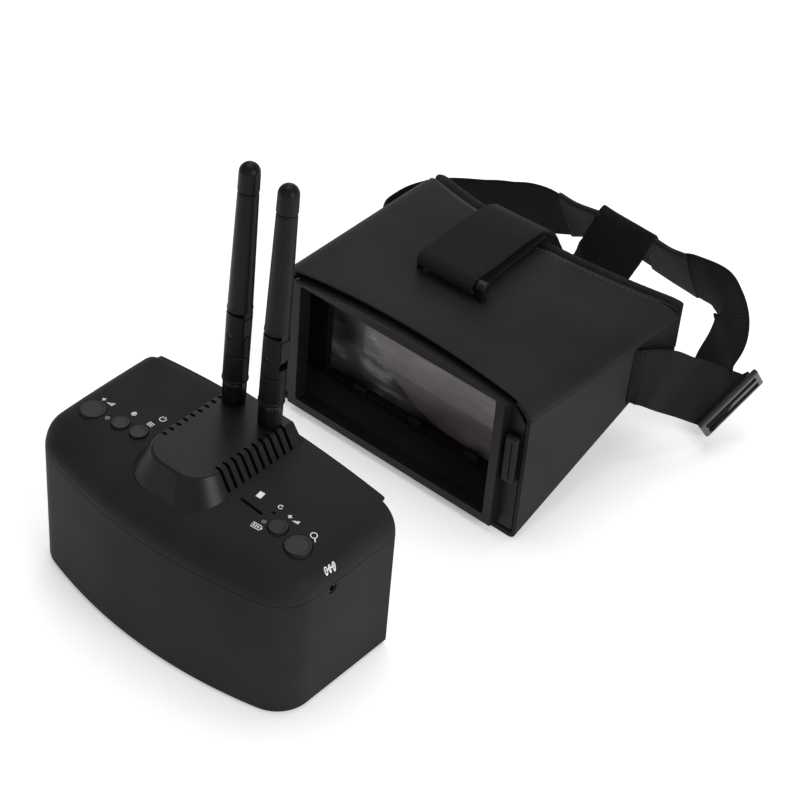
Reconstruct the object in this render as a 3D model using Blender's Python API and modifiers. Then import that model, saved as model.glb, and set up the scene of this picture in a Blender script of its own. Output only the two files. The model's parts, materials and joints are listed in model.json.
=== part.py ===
"""Box goggles for watching a drone's camera: a display module with two folding antennas, and the
eyepiece hood that it docks into, with its head straps. Z is up, -Y is the display's curved front."""

from math import asin, cos, hypot, pi, radians, sin, sqrt

import bmesh
import bpy
from mathutils import Matrix, Vector

MM = 0.001
GAP = 0.3  # between pieces that touch

# display module, in millimetres, from its open rear face (y = 0) to its curved front (y < 0)
MODULE_Y = 38.0
MODULE_HALF = 77.5
MODULE_DEPTH = 78.5
FRONT_RADIUS = 240.0
CORNER_RADIUS = 18.0
WALL = 2.2
SEAM_Z = 65.0
CROWN_Z = 86.5
CROWN_DROP = 5.5
LIP_HALF = 68.0
LIP_LENGTH = 2.5
PLATEAU_Z = 95.0

# eyepiece hood, in millimetres, from its front flange (y = 0) to the face (y > 0)
HOOD_Y = 132.0
HOOD_HALF = 77.5
HOOD_FLARE = 3.5
HOOD_SEAM_Z = 73.0
HOOD_CROWN_Z = 87.5
HOOD_CROWN_DROP = 6.0
HOOD_MIDDLE = 94.5
HOOD_TEMPLE = 113.5
FLOOR_SLOPE = 0.44
OPENING_HALF = 60.5
OPENING_LOW, OPENING_HIGH = 9.0, 79.0

ANTENNA_X, ANTENNA_Y = 10.8, -9.4
ANTENNA_LEAN = radians(3.0)
NUT_TOP = 11.8
PIVOT_H = 37.0
ROD_TOP = 108.2
ROD_R = 5.7
JACK_Z = 62.0

STRAP_WIDTH, STRAP_THICK = 34.0, 1.6
STRAP_X = -4.0

# name, x, y, radius of each button
BUTTONS = (
    ("band_button", -60.5, -46.5, 5.8),
    ("record_button", -43.7, -46.0, 4.0),
    ("menu_button", -32.8, -45.5, 4.0),
    ("channel_button", 50.2, -45.5, 4.2),
    ("search_button", 62.5, -46.5, 5.9),
)
BUTTON_RISE = 1.2
BUTTON_TRAVEL = 0.6
BOARD_Z = 68.5
SWITCH_Z = 72.5


def clear_scene():
    for obj in list(bpy.data.objects):
        bpy.data.objects.remove(obj)


def make_material(name, color, roughness, metallic=0.0):
    mat = bpy.data.materials.new(name)
    mat.use_nodes = True
    shader = mat.node_tree.nodes["Principled BSDF"]
    shader.inputs["Base Color"].default_value = (*color, 1.0)
    shader.inputs["Roughness"].default_value = roughness
    shader.inputs["Metallic"].default_value = metallic
    mat.diffuse_color = (*color, 1.0)
    return mat


def add_empty(name, location, tilt=0.0):
    empty = bpy.data.objects.new(name, None)
    empty.location = Vector(location) * MM
    empty.rotation_euler = (tilt, 0.0, 0.0)
    bpy.context.scene.collection.objects.link(empty)
    return empty


def active_mesh(name):
    obj = bpy.context.active_object
    obj.name = name
    obj.data.name = name
    bpy.ops.object.transform_apply(location=True, rotation=True, scale=True)
    return obj


def box(name, low, high):
    low, high = Vector(low), Vector(high)
    bpy.ops.mesh.primitive_cube_add(size=1.0, location=(low + high) / 2 * MM)
    bpy.context.active_object.scale = (high - low) * MM
    return active_mesh(name)


def rod(name, start, end, radius, segments=24, end_radius=None):
    start, end = Vector(start), Vector(end)
    far = radius if end_radius is None else end_radius
    bpy.ops.mesh.primitive_cone_add(
        vertices=segments, radius1=radius * MM, radius2=far * MM, depth=(end - start).length * MM,
        location=(start + end) / 2 * MM, rotation=(end - start).to_track_quat("Z", "Y").to_euler(),
    )
    return active_mesh(name)


def prism(name, outline, low, high, axis="Z"):
    """Extrude a flat outline from low to high. It is (x, y) for axis Z, (x, z) for Y and (y, z) for X."""
    place = {
        "Z": lambda a, b, c: (a, b, c), "Y": lambda a, b, c: (a, c, b), "X": lambda a, b, c: (c, a, b),
    }[axis]
    mesh = bpy.data.meshes.new(name)
    bm = bmesh.new()
    face = bm.faces.new([bm.verts.new(Vector(place(a, b, low)) * MM) for a, b in outline])
    moved = bmesh.ops.extrude_face_region(bm, geom=[face])["geom"]
    shift = Vector(place(0, 0, high - low)) * MM
    bmesh.ops.translate(bm, verts=[v for v in moved if isinstance(v, bmesh.types.BMVert)], vec=shift)
    bmesh.ops.recalc_face_normals(bm, faces=bm.faces)
    bm.to_mesh(mesh)
    bm.free()
    obj = bpy.data.objects.new(name, mesh)
    bpy.context.scene.collection.objects.link(obj)
    return obj


def draped_block(name, columns, rows, place, floor_z):
    """A closed block with its foot at floor_z. Its top is place(u, v), u from -1 to 1 and v from 0 to 1."""
    mesh = bpy.data.meshes.new(name)
    bm = bmesh.new()
    bmesh.ops.create_grid(bm, x_segments=columns, y_segments=rows, size=1.0)
    for vert in bm.verts:
        vert.co = Vector(place(vert.co.x, (vert.co.y + 1) / 2)) * MM
    rim = [edge for edge in bm.edges if edge.is_boundary]
    lower = bmesh.ops.extrude_edge_only(bm, edges=rim)["geom"]
    for vert in lower:
        if isinstance(vert, bmesh.types.BMVert):
            vert.co.z = floor_z * MM
    bmesh.ops.contextual_create(bm, geom=[e for e in bm.edges if e.is_boundary])
    bmesh.ops.recalc_face_normals(bm, faces=bm.faces)
    bm.to_mesh(mesh)
    bm.free()
    obj = bpy.data.objects.new(name, mesh)
    bpy.context.scene.collection.objects.link(obj)
    return obj


def boolean(obj, tool, operation):
    modifier = obj.modifiers.new(operation.lower(), "BOOLEAN")
    modifier.object = tool
    modifier.operation = operation
    bpy.context.view_layer.objects.active = obj
    bpy.ops.object.modifier_apply(modifier=modifier.name)
    bpy.data.objects.remove(tool)
    return obj


def cut(obj, tool):
    return boolean(obj, tool, "DIFFERENCE")


def join(obj, tool):
    return boolean(obj, tool, "UNION")


def meet(obj, tool):
    return boolean(obj, tool, "INTERSECT")


def soften(obj, width, segments=2, angle=35.0):
    modifier = obj.modifiers.new("rounded_edges", "BEVEL")
    modifier.width = width * MM
    modifier.segments = segments
    modifier.limit_method = "ANGLE"
    modifier.angle_limit = radians(angle)
    return obj


def place(obj, parent, material):
    obj.parent = parent
    obj.data.materials.clear()
    obj.data.materials.append(material)
    obj.data.shade_smooth()
    obj.data.set_sharp_from_angle(angle=radians(32))
    return obj


# ---- display module ----

def corner_y():
    """Height of the front corner arcs' centres, so that they run smoothly into the curved front."""
    reach = FRONT_RADIUS - CORNER_RADIUS
    return FRONT_RADIUS - MODULE_DEPTH - sqrt(reach**2 - (MODULE_HALF - CORNER_RADIUS) ** 2)


def module_outline(inset, rear):
    """Half-round plan: straight sides, two corner arcs and one wide front arc, ending at the rear line."""
    centre_x, centre_y = MODULE_HALF - CORNER_RADIUS, corner_y()
    turn = pi / 2 - asin(centre_x / (FRONT_RADIUS - CORNER_RADIUS))
    corner = [(centre_x + (CORNER_RADIUS - inset) * cos(-turn * k / 7),
               centre_y + (CORNER_RADIUS - inset) * sin(-turn * k / 7)) for k in range(8)]
    wide = pi / 2 - turn
    front = [((FRONT_RADIUS - inset) * sin(wide * k / 7),
              FRONT_RADIUS - MODULE_DEPTH - (FRONT_RADIUS - inset) * cos(wide * k / 7)) for k in range(6, 0, -1)]
    right = [(MODULE_HALF - inset, rear), *corner, *front]
    apex = (0.0, -MODULE_DEPTH + inset)
    return [*right, apex, *[(-x, y) for x, y in reversed(right)]]


def wall_distance(x, y):
    """Distance in from the nearest side or front wall, and how much that wall is the front, 0 to 1."""
    side = MODULE_HALF - abs(x)
    front = FRONT_RADIUS - hypot(x, y - (FRONT_RADIUS - MODULE_DEPTH))
    near = min(side, front)
    over_x, over_y = abs(x) - (MODULE_HALF - CORNER_RADIUS), corner_y() - y
    if over_x > 0 and over_y > 0:
        slant = (MODULE_HALF - CORNER_RADIUS) / sqrt(
            (FRONT_RADIUS - CORNER_RADIUS) ** 2 - (MODULE_HALF - CORNER_RADIUS) ** 2)
        if over_x > over_y * slant:
            near = CORNER_RADIUS - hypot(over_x, over_y)
    weight = side**2 / (side**2 + front**2 + 1e-9)
    return max(near, 0.0), weight


def cover_z(x, y):
    """Top of the module: crowned across, falling a little forward, then rolling down to the seam."""
    top = CROWN_Z - CROWN_DROP * (x / 70) ** 2 - 2.0 * (min(y, 0.0) / 60) ** 2
    near, frontness = wall_distance(x, y)
    roll = 12 + 26 * frontness
    part = max(0.0, (roll - near) / roll)
    return SEAM_Z + (top - SEAM_Z) * max(0.0, 1 - part**2.6) ** (1 / 2.6)


def front_y(x, inset):
    """Where the module's front wall is at x."""
    x = abs(x)
    centre_x, centre_y = MODULE_HALF - CORNER_RADIUS, corner_y()
    tangent = FRONT_RADIUS * centre_x / (FRONT_RADIUS - CORNER_RADIUS)
    if x < tangent:
        return FRONT_RADIUS - MODULE_DEPTH - sqrt((FRONT_RADIUS - inset) ** 2 - x**2)
    return centre_y - sqrt(max((CORNER_RADIUS - inset) ** 2 - (x - centre_x) ** 2, 0.0))


def cover_block(name, inset, rear, drop, floor_z, columns, rows):
    def spot(u, v):
        x = (MODULE_HALF - inset) * sin(u * pi / 2)
        front = front_y(x, inset)
        y = rear + (front - rear) * sin(v * pi / 2)
        return x, y, max(cover_z(x, y) - drop, floor_z + 0.5)
    return draped_block(name, columns, rows, spot, floor_z)


def hump_outline(half, front, radius, rear):
    """Tongue-shaped plan: straight sides and a front with two round corners."""
    arc = [(half - radius + radius * cos(pi / 2 * k / 6), front + radius - radius * sin(pi / 2 * k / 6))
           for k in range(7)]
    right = [(half, rear), *arc]
    return [*right, *[(-x, y) for x, y in reversed(right)]]


def hump_loft(name, foot, base, top, low_z, base_z, top_z):
    """Loft of three equal outlines: the foot, the base of the slope and the plateau."""
    mesh = bpy.data.meshes.new(name)
    bm = bmesh.new()
    loops = []
    for outline, z in ((foot, low_z), (base, base_z), (top, top_z)):
        verts = [bm.verts.new((x * MM, y * MM, z * MM)) for x, y in outline]
        loops.append([bm.edges.new((a, b)) for a, b in zip(verts, verts[1:] + verts[:1])])
    for lower, upper in zip(loops, loops[1:]):
        bmesh.ops.bridge_loops(bm, edges=lower + upper)
    bmesh.ops.contextual_create(bm, geom=loops[0])
    bmesh.ops.contextual_create(bm, geom=loops[-1])
    bmesh.ops.recalc_face_normals(bm, faces=bm.faces)
    bm.to_mesh(mesh)
    bm.free()
    obj = bpy.data.objects.new(name, mesh)
    bpy.context.scene.collection.objects.link(obj)
    return obj


def make_display_body(parent, material):
    body = prism("display_body", module_outline(0.0, 0.0), 0.0, SEAM_Z - GAP)
    cut(body, prism("hollow", module_outline(WALL, 20.0), WALL, SEAM_Z + 5))
    cut(body, rod("jack_hole", (60, -40, JACK_Z), (90, -40, JACK_Z), 2.4, 16))
    return place(body, parent, material)


def make_top_cover(parent, material):
    cover = cover_block("top_cover", 0.0, LIP_LENGTH, 0.0, SEAM_Z, 34, 16)
    cut(cover, cover_block("hollow", WALL, 20.0, WALL, SEAM_Z - 10, 26, 12))
    for side in (-1, 1):
        edge = sorted((side * LIP_HALF, side * 90))
        cut(cover, box("corner", (edge[0], 0, 50), (edge[1], 20, 100)))
    cut(cover, prism("lip_end", [(-90, LIP_LENGTH), (90, LIP_LENGTH), (90, 20), (-90, 20)], 40, 110))
    cut(cover, prism("hump_hole", hump_outline(25 + GAP, -66 - GAP, 18, 0.5), 70, 100))
    for _, x, y, radius in BUTTONS:
        cut(cover, rod("hole", (x, y, 70), (x, y, 95), radius + GAP, 20))
    for x, y, radius in ((-51.7, -46.3, 1.6), (43.6, -47.0, 1.6), (43.2, -40.6, 0.8)):
        cut(cover, rod("hole", (x, y, 70), (x, y, 95), radius, 12))
    cut(cover, box("card_slot", (27.5, -45.6, 70), (40.5, -44.0, 95)))
    return place(cover, parent, material)


def make_receiver_cover(parent, material):
    foot = hump_outline(25, -66, 18, 0.2)
    cover = hump_loft("receiver_cover", foot, foot, hump_outline(17.5, -60.5, 13, -1.0), 79.0, 83.0, PLATEAU_Z)
    cut(cover, hump_loft("hollow", hump_outline(23, -64, 16, -1.8), hump_outline(23, -64, 16, -1.8),
                         hump_outline(15.5, -58.5, 11, -3.0), 70.0, 83.0, PLATEAU_Z - 2))
    cut(cover, box("room_for_hood_lip", (-30, -5.2, 70), (30, 5, 84.3)))
    for side in (-1, 1):
        for k in range(10):
            y = -46.5 + 4.3 * k
            ends = sorted((side * 17.0, side * 30.0))
            cut(cover, box("vent", (ends[0], y - 0.8, 86.0), (ends[1], y + 0.8, PLATEAU_Z - 0.8)))
        at = (side * ANTENNA_X, ANTENNA_Y)
        cut(cover, rod("connector_hole", (*at, 85), (*at, 100), 3.6, 20))
    return place(cover, parent, material)


def make_screen_parts(parent, plastic, glass, board, cell):
    bezel = box("screen_bezel", (-70, -9, 2.6), (70, -6, 77))
    cut(bezel, box("window", (-54.5, -20, 11.5), (54.5, 5, 76.0)))
    place(bezel, parent, plastic)
    place(box("lcd_panel", (-60.5, -13, 3.6), (60.5, -9 - GAP, 78.6)), parent, glass)
    place(box("main_board", (-58, -22, 8), (58, -20.4, 68)), parent, board)
    battery = box("battery_pack", (-39, -66, WALL + GAP), (39, -30, 21))
    place(soften(battery, 3.0), parent, cell)


def make_receivers(parent, board, metal):
    button_board = box("button_board", (-68, -56, BOARD_Z - 1.6), (68, -37, BOARD_Z))
    for _, x, y, _ in BUTTONS:
        join(button_board, box("switch", (x - 3, y - 3, BOARD_Z - 0.5), (x + 3, y + 3, SWITCH_Z)))
    place(button_board, parent, board)
    for name, side in (("receiver_left", -1), ("receiver_right", 1)):
        span = sorted((side * 2.0, side * 22.0))
        place(box(name, (span[0], -35, 70), (span[1], -14, 76)), parent, metal)
    place(box("card_socket", (26.7, -47.0, BOARD_Z + GAP), (41.3, -41.2, 79.5)), parent, metal)
    jack = rod("power_jack", (65, -40, JACK_Z), (77.2, -40, JACK_Z), 2.1, 16)
    cut(jack, rod("bore", (69, -40, JACK_Z), (80, -40, JACK_Z), 1.3, 12))
    place(jack, parent, metal)


def make_buttons(parent, material, light):
    for name, x, y, radius in BUTTONS:
        top = cover_z(x, y) + BUTTON_RISE
        cap = rod(name, (x, y, top - 4.5), (x, y, top), radius, 28)
        soften(cap, 0.6, 2, 60)
        bpy.context.view_layer.objects.active = cap
        bpy.ops.object.modifier_apply(modifier="rounded_edges")
        foot = SWITCH_Z + BUTTON_TRAVEL + 0.1
        join(cap, rod("plunger", (x, y, foot), (x, y, top - 4.0), min(2.0, radius - 1), 12))
        place(cap, parent, material)
    for name, x, y in (("lamp_left", -51.7, -46.3), ("lamp_right", 43.6, -47.0)):
        top = cover_z(x, y)
        place(rod(name, (x, y, top - 4.5), (x, y, top - 0.2), 1.3, 12), parent, light)


def make_base_screws(parent, metal):
    for k, (x, y) in enumerate(((-66, -15), (66, -15), (-52, -62), (52, -62))):
        screw = rod(f"case_screw_{k + 1}", (x, y, WALL + GAP), (x, y, WALL + 2.5), 2.6, 16)
        join(screw, rod("shank", (x, y, WALL + 2.0), (x, y, WALL + 9.0), 1.2, 12))
        place(screw, parent, metal)


def make_antenna(name, side, parent, black, metal):
    """Nut, swivelling fork, folding rod and its tip, built up a leaning axis."""
    axis = add_empty(f"{name}_axis", (side * ANTENNA_X, ANTENNA_Y, PLATEAU_Z), -ANTENNA_LEAN)
    axis.parent = parent
    nut = rod(f"{name}_nut", (0, 0, 0.6), (0, 0, NUT_TOP), 5.4, 12)
    join(nut, rod("thread", (0, 0, -7.0), (0, 0, 1.5), 3.1, 16))
    place(nut, axis, metal)

    fork = rod(f"{name}_fork", (0, 0, NUT_TOP + GAP), (0, 0, 27.0), ROD_R, 24)
    arms = rod("arms", (0, 0, 26.0), (0, 0, PIVOT_H + 13), ROD_R, 24)
    round_top = rod("round_top", (0, 10, PIVOT_H), (0, -10, PIVOT_H), 11.5, 32)
    join(round_top, box("below", (-11, -10, 20), (11, 10, PIVOT_H)))
    join(fork, meet(arms, round_top))
    cut(fork, box("gap", (-10, -2.6, PIVOT_H - 6.2), (10, 2.6, PIVOT_H + 20)))
    cut(fork, rod("pin_hole", (0, 10, PIVOT_H), (0, -10, PIVOT_H), 1.3, 12))
    place(fork, axis, black)
    place(rod(f"{name}_pin", (0, 5.2, PIVOT_H), (0, -5.2, PIVOT_H), 1.0, 12), axis, metal)

    whip = rod(f"{name}_rod", (0, 0, PIVOT_H + 12), (0, 0, ROD_TOP), ROD_R, 24, 4.5)
    tongue = rod("tongue_end", (0, 2.3, PIVOT_H), (0, -2.3, PIVOT_H), 5.3, 24)
    join(tongue, box("tongue", (-5.3, -2.3, PIVOT_H), (5.3, 2.3, PIVOT_H + 9)))
    trim = rod("trim", (0, 0, PIVOT_H - 8), (0, 0, PIVOT_H + 14), 5.3, 24)
    neck = meet(box("neck", (-5.0, -2.3, PIVOT_H + 6), (5.0, 2.3, PIVOT_H + 13)), trim)
    join(whip, join(tongue, neck))
    cut(whip, rod("pin_hole", (0, 10, PIVOT_H), (0, -10, PIVOT_H), 1.3, 12))
    place(whip, axis, black)

    tip = rod(f"{name}_tip", (0, 0, ROD_TOP + GAP), (0, 0, 117.4), 4.7, 24, 4.6)
    bpy.ops.mesh.primitive_uv_sphere_add(segments=24, ring_count=12, radius=4.6 * MM, location=(0, 0, 117.0 * MM))
    join(tip, active_mesh("dome"))
    place(tip, axis, black)


# ---- eyepiece hood ----

def hood_half(y):
    return HOOD_HALF + HOOD_FLARE * y / HOOD_TEMPLE


def hood_rear(x):
    """The forehead curve: the hood's rear edge, deepest at the temples."""
    return HOOD_MIDDLE + (HOOD_TEMPLE - HOOD_MIDDLE) * (x / 80) ** 2


def hood_top(x, y):
    top = HOOD_CROWN_Z - HOOD_CROWN_DROP * (x / 70) ** 2
    part = max(0.0, 1 - (hood_half(y) - abs(x)) / 13)
    return HOOD_SEAM_Z + (top - HOOD_SEAM_Z) * max(0.0, 1 - part**2.4) ** (1 / 2.4)


def hood_floor(y):
    return FLOOR_SLOPE * max(y, 0.0)


def roof_block(name, inset, drop, floor_z, front, extra, columns, rows):
    def spot(u, v):
        side = sin(u * pi / 2)
        y = front + (hood_rear(side * 79) + extra - front) * v
        x = side * (hood_half(y) - inset)
        return x, y, max(hood_top(x * hood_half(y) / (hood_half(y) - inset), y) - drop, floor_z + 0.5)
    return draped_block(name, columns, rows, spot, floor_z)


def flared(obj, inset):
    """Spread a straight-sided block so that its sides follow the hood's flare."""
    for vert in obj.data.vertices:
        vert.co.x *= (hood_half(vert.co.y / MM) - inset) / (HOOD_HALF - inset)
    return obj


def round_keel(obj, width):
    """Round the two long edges between a block's sloped floor and its sides."""
    bm = bmesh.new()
    bm.from_mesh(obj.data)
    keel = [e for e in bm.edges
            if abs(e.verts[0].co.y - e.verts[1].co.y) > 50 * MM and max(v.co.z for v in e.verts) < 60 * MM]
    bmesh.ops.bevel(bm, geom=keel, offset=width * MM, segments=4, profile=0.5, affect="EDGES")
    bm.to_mesh(obj.data)
    bm.free()
    return obj


def rear_cutter():
    curve = [(x, hood_rear(x)) for x in range(-100, 101, 10)]
    return prism("rear_cutter", [*curve, (100, 200), (-100, 200)], -20, 120)


def make_hood_shells(parent, material):
    roof = roof_block("hood_top_shell", 0.0, 0.0, HOOD_SEAM_Z + GAP, 0.0, 0.0, 26, 10)
    cut(roof, roof_block("hollow", WALL, WALL, HOOD_SEAM_Z - 10, -20, 30, 22, 6))
    cut(roof, box("rebate", (-LIP_HALF - 0.6, -5, HOOD_SEAM_Z + 2), (LIP_HALF + 0.6, 3.2, 100)))
    for x in (STRAP_X - 21.5, STRAP_X + 21.5):
        cut(roof, box("post_hole", (x - 2.3, 36.7, 70), (x + 2.3, 44.3, 100)))
    place(roof, parent, material)

    far = 118.0
    shell = prism("hood_lower_shell", [(0, 0), (far, hood_floor(far)), (far, HOOD_SEAM_Z), (0, HOOD_SEAM_Z)],
                  -HOOD_HALF, HOOD_HALF, "X")
    round_keel(flared(shell, 0.0), 3.5)
    inner = WALL + 0.2
    hollow = prism("hollow", [(-9, inner - 9 * FLOOR_SLOPE), (far + 9, hood_floor(far + 9) + inner),
                              (far + 9, 80), (-9, 80)], -HOOD_HALF + WALL, HOOD_HALF - WALL, "X")
    cut(shell, flared(hollow, WALL))
    cut(shell, rear_cutter())
    cut(shell, rod("nose", (0, HOOD_MIDDLE + 6, 10), (0, HOOD_MIDDLE + 6, 60), 21, 28))
    for side in (-1, 1):
        ends = sorted((side * 70, side * 90))
        cut(shell, box("strap_slot", (ends[0], 77.5, 40.0), (ends[1], 83.5, 71.0)))
    place(shell, parent, material)


def crown_line(half, drop, steps=12):
    xs = [half - 2 * half * k / steps for k in range(steps + 1)]
    return [(x, hood_top(x, 5) - drop) for x in xs]


def make_front_frame(parent, plastic, soft):
    low = WALL + 0.2 + hood_floor(3.3) + 0.3
    outline = [(-74.6, low), (74.6, low), (74.6, 70), *crown_line(67, 3.7), (-74.6, 70)]
    plate = prism("front_frame", outline, GAP, 3.0, "Y")
    join(plate, prism("lip", [(-65.5, low), (65.5, low), *crown_line(65.5, 3.7)], -5.0, 3.0, "Y"))
    cut(plate, box("opening", (-OPENING_HALF, -20, OPENING_LOW), (OPENING_HALF, 20, OPENING_HIGH)))
    place(plate, parent, plastic)
    for name, side in (("catch_left", -1), ("catch_right", 1)):
        span = sorted((side * 66.2, side * 73.8))
        catch = box(name, (span[0], -3.2, 34.0), (span[1], 0.0, 62.0))
        place(soften(catch, 0.7), parent, plastic)
    outline = [(-73, 12.4), (73, 12.4), (73, 70), (62, 79.4), (-62, 79.4), (-73, 70)]
    frame = prism("lens_frame", outline, 17.0, 20.6, "Y")
    cut(frame, box("window", (-60, 0, 15.5), (60, 40, 77)))
    place(frame, parent, plastic)
    place(box("fresnel_lens", (-63, 20.6 + GAP, 13.4), (63, 22.6, 79)), parent, soft)


def face_ring(name, start, end, outer, inner):
    """A ring that follows the forehead curve, from start to end behind it, set in from the shell."""
    near = [(x, hood_rear(x) + start) for x in range(-80, 81, 8)]
    away = [(x, hood_rear(x) + end) for x in range(80, -81, -8)]
    band = prism(name, [*near, *away], 20, 110)

    def loop(inset):
        half = 80 - inset
        count = 20
        xs = [half - 2 * half * k / count for k in range(count + 1)]
        top = [(x, hood_top(x * 79 / 80, 100) - inset) for x in xs]
        low = [(x, hood_floor(hood_rear(x)) + inset) for x in reversed(xs)]
        return [*low, *top]

    meet(band, prism("rim", loop(outer), 60, 150, "Y"))
    cut(band, prism("window", loop(inner), 60, 150, "Y"))
    return cut(band, rod("nose", (0, HOOD_MIDDLE + 8, 30), (0, HOOD_MIDDLE + 8, 62), 21, 28))


def make_face_parts(parent, plastic, foam):
    place(face_ring("face_rim", GAP, 2.0, 1.0, 9.0), parent, plastic)
    place(face_ring("face_foam", 2.0 + GAP, 12.0, 1.5, 11.5), parent, foam)


def ribbon(name, points, upright, width=STRAP_WIDTH):
    """A strap: a poly curve spread to the strap's width and thickened. Upright straps stand on edge."""
    curve = bpy.data.curves.new(name, "CURVE")
    curve.dimensions = "3D" if upright else "2D"
    curve.fill_mode = "FULL" if upright else "NONE"
    curve.twist_mode = "Z_UP"
    curve.extrude = width / 2 * MM
    spline = curve.splines.new("POLY")
    spline.points.add(len(points) - 1)
    for point, spot in zip(spline.points, points):
        at = spot if upright else (spot[0], spot[1], 0.0)
        point.co = (*(Vector(at) * MM), 1.0)
    guide = bpy.data.objects.new(name, curve)
    bpy.context.scene.collection.objects.link(guide)
    mesh = bpy.data.meshes.new_from_object(guide.evaluated_get(bpy.context.evaluated_depsgraph_get()))
    bpy.data.objects.remove(guide)
    obj = bpy.data.objects.new(name, mesh)
    bpy.context.scene.collection.objects.link(obj)
    if not upright:
        obj.data.transform(Matrix.Rotation(pi / 2, 4, "Z") @ Matrix.Rotation(pi / 2, 4, "X"))
    modifier = obj.modifiers.new("thickness", "SOLIDIFY")
    modifier.thickness = STRAP_THICK * MM
    modifier.offset = 0.0
    return obj


def rounded(points, rounds=2):
    """Corner-cut a polyline so that it bends softly."""
    for _ in range(rounds):
        soft = [points[0]]
        for a, b in zip(points, points[1:]):
            soft += [tuple(Vector(a).lerp(Vector(b), 0.25)), tuple(Vector(a).lerp(Vector(b), 0.75))]
        points = [*soft, points[-1]]
    return points


def make_straps(parent, webbing, plastic, metal):
    anchor = rod("strap_anchor", (STRAP_X - 22.5, 40.5, 94.5), (STRAP_X + 22.5, 40.5, 94.5), 2.6, 16)
    for x in (STRAP_X - 21.5, STRAP_X + 21.5):
        join(anchor, box("post", (x - 2.0, 37.0, 81.0), (x + 2.0, 44.0, 94.5)))
    place(anchor, parent, plastic)

    top = rounded([(44.6, 92.5), (60, 93.5), (85, 96.0), (104, 98.0), (114, 92.0), (119, 78.0), (126, 60.0),
                   (140, 55.0), (155, 58.0)])
    strap = ribbon("top_strap", top, False)
    strap.location.x = STRAP_X * MM
    place(strap, parent, webbing)

    rear = rounded([(-81.8, 85.0, 57.0), (-90, 104, 57), (-92, 132, 58), (-74, 156, 60), (-38, 166, 61), (0, 168, 61),
                    (38, 164, 60), (70, 152, 56), (90, 140, 50)])
    place(ribbon("rear_band", rear, True), parent, webbing)
    short = rounded([(81.9, 81.0, 57.0), (88, 84, 54), (98, 98, 46), (104, 112, 38), (107, 122, 31)])
    place(ribbon("side_strap", short, True, 30.0), parent, webbing)

    slider = box("strap_slider", (-14.0, -1.6, -20.0), (14.0, 1.6, 20.0))
    for x in (-6.0, 6.0):
        cut(slider, box("slot", (x - 3.4, -5, -17.2), (x + 3.4, 5, 17.2)))
    slider.data.transform(Matrix.Rotation(radians(58), 4, "Z") @ Matrix.Rotation(radians(-24), 4, "X"))
    slider.location = Vector((107.0, 139.5, 21.5)) * MM
    place(slider, parent, plastic)
    for name, side in (("strap_pin_left", -1), ("strap_pin_right", 1)):
        place(rod(name, (side * 73.0, 80.5, 40), (side * 73.0, 80.5, 70), 1.8, 12), parent, metal)


def main():
    clear_scene()
    shell = make_material("black_abs", (0.030, 0.028, 0.030), 0.55)
    inner_shell = make_material("inner_plastic", (0.012, 0.012, 0.013), 0.5)
    rubber = make_material("antenna_plastic", (0.010, 0.010, 0.011), 0.45)
    webbing = make_material("elastic_webbing", (0.014, 0.014, 0.015), 0.9)
    foam = make_material("face_foam", (0.012, 0.012, 0.013), 0.95)
    screen = make_material("screen_glass", (0.01, 0.01, 0.012), 0.15)
    lens = make_material("lens_acrylic", (0.30, 0.29, 0.30), 0.15)
    board = make_material("circuit_board", (0.02, 0.12, 0.05), 0.5)
    cell = make_material("battery_wrap", (0.05, 0.09, 0.25), 0.4)
    metal = make_material("plated_metal", (0.25, 0.24, 0.22), 0.35, 1.0)
    light = make_material("light_pipe", (0.55, 0.55, 0.52), 0.3)

    module = add_empty("display_module", (0, MODULE_Y, 0))
    make_display_body(module, shell)
    make_top_cover(module, shell)
    make_receiver_cover(module, shell)
    make_screen_parts(module, inner_shell, screen, board, cell)
    make_receivers(module, board, metal)
    make_buttons(module, shell, light)
    make_base_screws(module, metal)
    for name, side in (("antenna_left", -1), ("antenna_right", 1)):
        make_antenna(name, side, module, rubber, metal)

    hood = add_empty("eyepiece_hood", (0, HOOD_Y, 0))
    make_hood_shells(hood, shell)
    make_front_frame(hood, inner_shell, lens)
    make_face_parts(hood, inner_shell, foam)
    make_straps(hood, webbing, rubber, metal)


main()
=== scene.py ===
import json
from math import asin, cos, hypot, pi, radians, sin, sqrt

import bpy
from mathutils import Matrix, Vector

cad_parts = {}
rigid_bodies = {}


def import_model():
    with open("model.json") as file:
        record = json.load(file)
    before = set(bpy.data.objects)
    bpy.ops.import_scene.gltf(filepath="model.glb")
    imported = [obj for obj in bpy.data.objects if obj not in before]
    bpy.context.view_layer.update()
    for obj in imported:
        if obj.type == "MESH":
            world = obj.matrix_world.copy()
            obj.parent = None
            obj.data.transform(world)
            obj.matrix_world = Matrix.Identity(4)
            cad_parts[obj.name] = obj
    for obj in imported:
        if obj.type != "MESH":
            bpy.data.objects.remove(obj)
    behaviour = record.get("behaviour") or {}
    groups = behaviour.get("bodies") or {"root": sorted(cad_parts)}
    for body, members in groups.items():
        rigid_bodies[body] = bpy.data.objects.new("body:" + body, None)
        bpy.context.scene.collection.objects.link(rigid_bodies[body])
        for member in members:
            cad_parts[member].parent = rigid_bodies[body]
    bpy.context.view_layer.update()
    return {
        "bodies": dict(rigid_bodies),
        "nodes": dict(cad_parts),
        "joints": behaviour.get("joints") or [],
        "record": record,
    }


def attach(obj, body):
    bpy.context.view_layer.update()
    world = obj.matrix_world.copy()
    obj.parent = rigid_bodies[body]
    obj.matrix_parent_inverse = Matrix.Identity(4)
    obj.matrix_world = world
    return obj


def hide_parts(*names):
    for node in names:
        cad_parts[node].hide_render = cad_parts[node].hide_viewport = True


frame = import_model()
nodes = frame["nodes"]
mm = 0.001
moduleY, hoodY = 38.0, 132.0  # mm from the origin to each half's own y = 0
strapX = -6.0  # the top strap runs a little left of the middle


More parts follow.
